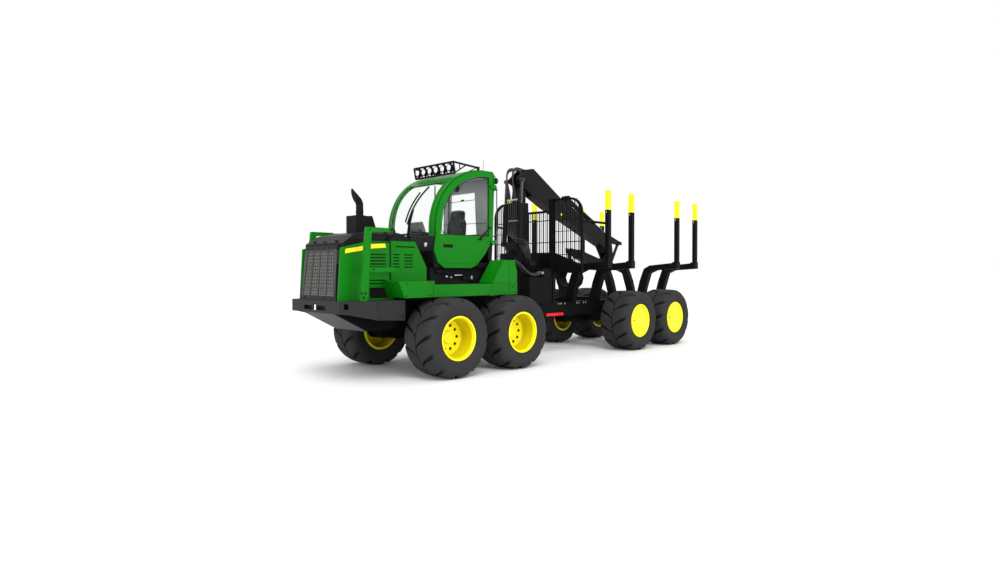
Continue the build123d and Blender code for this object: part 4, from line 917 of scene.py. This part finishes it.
door_line = [
    (1.655, 2.33), (1.83, 2.066), (2.044, 1.856), (2.18, 1.796), (2.5, 1.795), (2.8, 1.796), (2.935, 1.884),
    (3.014, 2.08), (2.998, 2.22), (2.975, 2.42), (2.965, 2.64), (2.9, 2.86), (2.8, 3.06), (2.68, 3.2),
    (2.545, 3.314), (2.33, 3.44), (2.1, 3.515), (1.9, 3.538), (1.75, 3.538), (1.645, 3.535),
]
window_line = [
    (1.752, 2.372), (2.2, 2.366), (2.6, 2.366), (2.868, 2.368), (2.866, 2.56), (2.82, 2.76), (2.74, 2.94),
    (2.64, 3.08), (2.5, 3.205), (2.33, 3.31), (2.12, 3.395), (1.9, 3.435), (1.755, 3.437), (1.751, 3.3),
    (1.751, 2.7), (1.751, 2.372),
]
crease_line = [
    (1.77, 2.29), (1.9, 2.11), (2.08, 1.93), (2.2, 1.87), (2.48, 1.866), (2.76, 1.87), (2.88, 1.93),
    (2.935, 2.08), (2.915, 2.25), (2.89, 2.3),
]
fit([door_tube(door_line, 0.664, 0.0075)], "door_edge_seal", rubber_black, "cab_door")
fit([door_tube(window_line, 0.7035, 0.0065)], "door_window_seal", rubber_black, "cab_door")
fit([door_tube(crease_line, 0.7045, 0.0065)], "door_pressed_line", hood_green, "cab_door")
handle_and_strut = [
    brick((2.618, 0.7055, 2.142), (2.83, 0.7125, 2.196), 0.003),
    brick((2.64, 0.712, 2.158), (2.74, 0.728, 2.182), 0.007),
    rod((2.79, 0.711, 2.169), (2.79, 0.72, 2.169), 0.017, 20, 0.003),
    rod((1.965, 0.722, 2.318), (1.858, 0.722, 2.43), 0.016, 16, 0.002),
    rod((1.858, 0.722, 2.43), (1.764, 0.722, 2.528), 0.009, 12),
    brick((1.93, 0.705, 2.29), (2.03, 0.712, 2.322), 0.003),
    rod((1.965, 0.706, 2.316), (1.965, 0.734, 2.316), 0.012, 12, 0.002),
    brick((1.69, 0.705, 2.51), (1.775, 0.712, 2.545), 0.003),
    rod((1.762, 0.706, 2.529), (1.762, 0.734, 2.529), 0.011, 12, 0.002),
]
fit(handle_and_strut, "door_handle_and_strut", rubber_black, "cab_door")

# Operator's seat
# Foam cushions in dark woven cloth with sewn channels, on a plastic shell. Each is
# remeshed, blown up a little as cloth and smoothed, then its seams are drawn in.


def blow_up(piece):
    """Remeshes a cushion and lets it swell as cloth under pressure, no point further than the cap."""
    cap = 0.012
    piece.data.remesh_voxel_size = 0.009
    pick(piece)
    bpy.ops.object.voxel_remesh()
    before = [vertex.co.copy() for vertex in piece.data.vertices]
    cloth = piece.modifiers.new("Fabric", "CLOTH")
    cloth.settings.use_pressure = True
    cloth.settings.uniform_pressure_force = 4
    cloth.settings.effector_weights.gravity = 0
    scene = bpy.context.scene
    for step in range(1, 21):
        scene.frame_set(step)
    pick(piece)
    bpy.ops.object.modifier_apply(modifier="Fabric")
    scene.frame_set(1)
    for vertex, place in zip(piece.data.vertices, before):
        move = vertex.co - place
        if move.length > cap:
            vertex.co = place + move * (cap / move.length)
    soften = piece.modifiers.new("Soften", "SMOOTH")
    soften.iterations = 3
    finer = piece.modifiers.new("Finer", "SUBSURF")
    finer.levels = 1
    finer.render_levels = 1
    pick(piece)
    bpy.ops.object.modifier_apply(modifier="Soften")
    bpy.ops.object.modifier_apply(modifier="Finer")


def draw_in(piece, axis, places, depth, inward):
    """Presses sewn channels into the faces that point against inward, across one axis."""
    width = 0.014
    for vertex in piece.data.vertices:
        if vertex.normal.dot(inward) > -0.35:
            continue
        for place in places:
            gap = abs(abs(vertex.co[axis]) - place) if axis == 1 else abs(vertex.co[axis] - place)
            if gap < width:
                vertex.co += inward * depth * (1 - (gap / width) ** 2)


seat_cloth = finish("seat_woven_cloth", (0.02, 0.02, 0.021), rough=0.85, shade=0.3, grain=0.0008, size=40,
                    shine=0.2)
threads = add_node(seat_cloth, "TexCoord").outputs["Object"]
weave = 0
for direction in ("Y", "Z"):
    thread = add_node(seat_cloth, "TexWave", {"Scale": 90, "Distortion": 1.0, "Vector": threads})
    thread.bands_direction = direction
    weave = reckon(seat_cloth, "MAXIMUM", weave, thread.outputs["Fac"])
weave_bump = add_node(seat_cloth, "Bump", {"Distance": 0.0012, "Strength": 0.6, "Height": weave})
wire(seat_cloth, seat_cloth.node_tree.nodes["Principled BSDF"],
     {"Sheen Weight": 0.35, "Normal": weave_bump.outputs["Normal"]})

base_line = [(1.985, -0.225), (2.5, -0.215), (2.53, -0.15), (2.53, 0.15), (2.5, 0.215), (1.985, 0.225)]
base_cushion = plate(base_line, "top", 2.16, 0.085, 0.03, 4)
blow_up(base_cushion)
downward = Vector((0, 0, -1))
draw_in(base_cushion, 1, (0.125,), 0.007, downward)
draw_in(base_cushion, 0, (2.2, 2.4), 0.005, downward)
settle(smooth(base_cushion, 60), "seat_base_cushion", seat_cloth, "front_frame")
back_line = [
    (-0.22, 2.275), (0.22, 2.275), (0.226, 2.45), (0.215, 2.64), (0.18, 2.69), (0.16, 2.715), (0.152, 2.85),
    (0.11, 2.89), (-0.11, 2.89), (-0.152, 2.85), (-0.16, 2.715), (-0.18, 2.69), (-0.215, 2.64),
    (-0.226, 2.45),
]
back_cushion = plate(back_line, "front", 1.865, 0.15, 0.034, 4)
for vertex in back_cushion.data.vertices:
    vertex.co.x -= (vertex.co.z - 2.285) * 0.11
blow_up(back_cushion)
backward = Vector((-1, 0, 0))
draw_in(back_cushion, 1, (0.12,), 0.006, backward)
draw_in(back_cushion, 2, (2.43, 2.56, 2.69), 0.006, backward)
settle(smooth(back_cushion, 60), "seat_back_cushion", seat_cloth, "front_frame")

# Seat frame and controls
# Black plastic shell and pedestal, armrests with small control levers, and the console
# with its hooded display in front.
shell_parts = [
    brick((2.1, -0.145, 1.846), (2.4, 0.145, 1.9), 0.02), brick((2.15, -0.1, 1.9), (2.35, 0.1, 2.12), 0.02),
    brick((2.0, -0.2, 2.12), (2.48, 0.2, 2.156), 0.015),
    brick((1.85, -0.19, 2.26), (1.893, 0.19, 2.65), 0.018),
    plate([(2.62, 1.846), (2.875, 1.846), (2.895, 2.34), (2.77, 2.425), (2.64, 2.375)], "side", -0.295, 0.41,
          0.018),
    plate([(2.65, 2.38), (2.76, 2.427), (2.74, 2.449), (2.7, 2.44)], "side", -0.23, 0.28, 0.004),
]
for number in range(5):
    z = 1.925 + number * 0.036
    shell_parts.append(brick((2.12, -0.125, z), (2.38, 0.125, z + 0.02), 0.009))
shell_parts += both(brick, (2.045, 0.205, 2.205), (2.115, 0.24, 2.335), 0.01)
shell_parts += both(brick, (2.085, 0.246, 2.332), (2.3, 0.299, 2.388), 0.018, 3)
shell_parts += both(brick, (2.31, 0.246, 2.335), (2.478, 0.299, 2.372), 0.014, 3)
shell_parts += both(rod, (2.4, 0.272, 2.37), (2.41, 0.268, 2.388), 0.014, 12, 0.003)
seat_frame = fit(shell_parts, "seat_frame_and_console", cab_dark)
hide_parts("operator_station")
screen_grey = finish("console_hood_grey", (0.15, 0.145, 0.15), rough=0.4, shade=0.1, shine=0.3)
controls = [brick((2.312, y, 2.371), (2.33, y + 0.01, 2.376), 0.002) for y in (0.252, 0.264, 0.276)]
controls += [
    brick((2.625, -0.15, 2.25), (2.638, 0.05, 2.34), 0.003),
    plate([(2.7, 2.43), (2.82, 2.43), (2.86, 2.6), (2.78, 2.62)], "side", -0.18, 0.26, 0.008),
    brick((2.73, -0.3, 2.43), (2.8, -0.22, 2.58), 0.01),
]
controls += both(rod, (2.44, 0.272, 2.375), (2.452, 0.268, 2.44), 0.013, 12, 0.003)
controls += both(rod, (2.35, 0.265, 2.388), (2.352, 0.265, 2.408), 0.009, 10, 0.002)
fit(controls, "console_display", screen_grey)

# Mirrors, rail and antenna
# A round mirror and a tall grab loop on the cab's rear left corner, one more on the
# right, black tube arms, and a whip antenna on the roof.
MIRROR_Y, MIRROR_Z = 0.705, 3.395
mirror_black = finish("mirror_housing_black", (0.01, 0.01, 0.011), rough=0.4, shade=0.2)
fittings = both(tube, [
    (1.6, 0.64, 3.5), (1.585, 0.69, 3.5), (1.575, MIRROR_Y, 3.47), (1.572, MIRROR_Y, 3.43),
], 0.008)
fittings += both(tube, [
    (1.6, 0.64, 3.33), (1.56, 0.69, 3.33), (1.545, MIRROR_Y, 3.29), (1.545, MIRROR_Y, 2.9),
    (1.54, MIRROR_Y, 2.45), (1.555, 0.7, 2.38), (1.61, 0.645, 2.375),
], 0.01)
fittings += both(rod, (1.56, MIRROR_Y, MIRROR_Z), (1.585, MIRROR_Y, MIRROR_Z), 0.06, 32, 0.008)
fittings.append(rod((1.65, 0.45, 3.56), (1.65, 0.45, 3.6), 0.016, 16, 0.003))
fittings.append(rod((1.65, 0.45, 3.6), (1.64, 0.45, 3.8), 0.0035, 8))
fittings.append(brick((1.59, -0.3, 3.566), (1.64, -0.22, 3.6), 0.008))
fit(fittings, "cab_mirrors_and_rail", mirror_black)
mirror_glass = finish("mirror_glass_silver", (0.8, 0.82, 0.83), rough=0.05, shade=0.02, metal=1.0, grain=0.0)
faces = []
for x in (1.5855, 1.5575):
    faces += both(rod, (x, MIRROR_Y, MIRROR_Z), (x + 0.002, MIRROR_Y, MIRROR_Z), 0.05, 32)
fit(faces, "cab_mirror_glass", mirror_glass)

# Roof light bar
# A black tube guard with six round work lamps: ribbed housings and a clear domed lens in
# each ring.
dress(rubber_black, "light_bar")
LAMP_Z = 3.565
lens_parts = []
ring_parts = []
lattice = []
for y in (-0.45, -0.27, -0.09, 0.09, 0.27, 0.45):
    ring_parts.append(rod((2.47, y, LAMP_Z), (2.492, y, LAMP_Z), 0.064, 32, 0.004))
    for x in (2.424, 2.44, 2.456):
        ring_parts.append(rod((x, y, LAMP_Z), (x + 0.006, y, LAMP_Z), 0.066, 32))
    bpy.ops.mesh.primitive_uv_sphere_add(segments=24, ring_count=12, radius=0.052, location=(2.49, y, LAMP_Z))
    lens = bpy.context.object
    lens.scale = (0.26, 1, 1)
    lens_parts.append(lens)
    for foot in (y - 0.088, y + 0.088):
        lattice.append(rod((2.442, foot, 3.475), (2.478, y, 3.655), 0.0075, 8))
fit(ring_parts, "work_lamp_rings", rubber_black)
fit(lens_parts, "work_lamp_lenses", lamp_white)
lattice += both(rod, (2.442, 0.56, 3.47), (2.18, 0.56, 3.632), 0.012, 12)
lattice += both(rod, (2.33, 0.56, 3.54), (2.33, 0.56, 3.645), 0.01, 12)
lattice += both(rod, (1.9, 0.56, 3.625), (1.9, 0.3, 3.575), 0.008, 12)
fit(lattice, "light_bar_lattice", rubber_black)

# Headboard wires
# Thinner upright wires halfway between the headboard's bars, and a middle rail.
BOARD_X = -0.34
wires = []
for number in range(12):
    y = (number + 0.5) * 0.105
    if abs(y - 0.455) < 0.06 or y > 1.2:
        continue
    high = 3.0 if y < 0.4 else 3.08 if y > 1.13 else 3.215
    wires += both(rod, (BOARD_X, y, 1.88), (BOARD_X, y, high), 0.006, 6)
for z in (2.08, 2.56):
    wires += both(rod, (BOARD_X, 0.5, z), (BOARD_X, 1.215, z), 0.007, 6)
fit(wires, "headboard_wires", frame_black, "rear_frame", flat=True)

# Crane hoses
# Black rubber hydraulic hoses: loops over the pillar's head to the boom, a bundle down
# the pillar that bends to the crane's foot, and thick arcs beside the crane's base.
hose_rubber = finish("hose_rubber", (0.026, 0.026, 0.027), rough=0.38, shade=0.2, size=12, shine=0.3)
loops = []
for number, y in enumerate((-0.12, -0.09, -0.06, 0.03, 0.06, 0.09)):
    reach = 0.03 * (number % 3)
    loops.append(tube([
        (0.39, y, 3.2), (0.395, y, 3.33), (0.43 + reach, y * 1.1, 3.56),
        (0.43 + reach, y * 1.1, 3.8 - reach * 0.6), (0.33, y, 3.878 - reach), (0.18, y, 3.872 - reach * 0.5),
        (0.02, y * 0.95, 3.838), (-0.08, y * 0.9, 3.85),
    ], 0.0125))
crane_loops = fit(loops, "crane_hose_loops", hose_rubber, None)
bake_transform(crane_loops)
clamps = [
    brick((0.37, -0.14, 3.185), (0.412, 0.13, 3.215), 0.006),
    brick((0.34, -0.13, 2.76), (0.392, 0.13, 2.785), 0.006),
    rod((0.33, -0.03, 3.2), (0.38, -0.03, 3.2), 0.012, 10),
    rod((0.33, 0.06, 3.2), (0.38, 0.06, 3.2), 0.012, 10),
]
fit(clamps, "pillar_hose_clamps", fitting_zinc, "crane_pillar")
down = []
for number in range(5):
    y = -0.115 + number * 0.055
    far = 0.052 * number
    down.append(tube([
        (0.388, y, 3.2), (0.392, y + 0.01, 3.05), (0.386, y - 0.01, 2.78), (0.398, y, 2.6),
        (0.42 + far * 0.1, y + 0.04, 2.47 - far * 0.7), (0.44, y + 0.2, 2.4 - far * 0.95),
        (0.46, 0.46 - far * 0.2, 2.38 - far * 1.1), (0.475, 0.56 - far * 0.7, 2.2 - far * 0.5),
        (0.44, 0.53 - far * 0.6, 2.02), (0.38, 0.5 - far * 0.5, 1.9),
    ], 0.0115))
pillar_hoses = fit(down, "pillar_hose_bundle", hose_rubber, None)
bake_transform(pillar_hoses)
base_bits = [
    brick((0.3, 0.331, 1.84), (0.46, 0.56, 1.94), 0.012),
    brick((-0.16, 0.4, 1.621), (0.1, 0.59, 1.79), 0.012),
    brick((0.498, 0.18, 1.88), (0.56, 0.36, 2.02), 0.012),
]
for number in range(4):
    x, y = 0.345 + number * 0.03, 0.395 + number * 0.04
    base_bits.append(rod((x, y, 1.935), (x, y, 1.965), 0.017, 6, 0.002))
arcs = []
ends = []
for number in range(3):
    y = 0.42 + number * 0.05
    low_z = 0.012 * number
    arcs.append(tube([
        (0.56, 0.25 + number * 0.03, 1.96 - number * 0.02), (0.6, 0.33 + number * 0.03, 1.9), (0.59, y, 1.78),
        (0.48, y + 0.06, 1.69 - low_z), (0.3, y + 0.06, 1.672 - low_z), (0.14, y + 0.06, 1.7),
    ], 0.022))
    ends.append(rod((0.15, y + 0.06, 1.698), (0.095, y + 0.06, 1.704), 0.026, 16, 0.004))
fit(arcs, "crane_base_hoses", hose_rubber, "rear_frame")
fit(ends, "crane_base_hose_fittings", fitting_zinc, "rear_frame")
base_bits += bolts([(0.5, y, z) for y in (-0.22, -0.11, 0, 0.11) for z in (1.2, 1.45, 1.7, 1.95)], (1, 0, 0),
                   0.014)
side_places = [(x, y, z) for y in (-0.561, 0.561) for x in (-0.17, 0.14, 0.45) for z in (1.12, 1.58)]
base_bits += bolts(side_places, (0, 1, 0), 0.012)
fit(base_bits, "crane_base_valves", axle_black, "rear_frame")

# blank warning plates
for name, body, places in (
    ("boom_blank_plates", "main_boom", (((-0.76, 0.1225, 3.08), (-0.7, 0.126, 3.15)),
                                        ((-1.06, 0.1225, 2.965), (-1.015, 0.126, 3.015)))),
    ("pillar_blank_plate", "crane_pillar", (((0.25, 0.1495, 2.7), (0.31, 0.153, 2.79)),)),
    ("headboard_blank_plates", "rear_frame", (((-0.296, 0.43, 1.42), (-0.2925, 0.48, 1.5)),
                                              ((-0.296, -0.48, 1.42), (-0.2925, -0.43, 1.5)))),
):
    fit([brick(low, high, 0.001) for low, high in places], name, bar_yellow, body, flat=True)

bundle = []
for number in range(4):
    y = 0.03 * number
    bundle.append(tube([
        (1.0, 0.1 + y, 1.2), (0.86, 0.16 + y, 1.28), (0.72, 0.2 + y, 1.22), (0.6, 0.18 + y, 1.26),
        (0.57, 0.15 + y, 1.14),
    ], 0.015))
frame_hoses = fit(bundle, "frame_joint_hoses", hose_rubber, None)
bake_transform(frame_hoses)
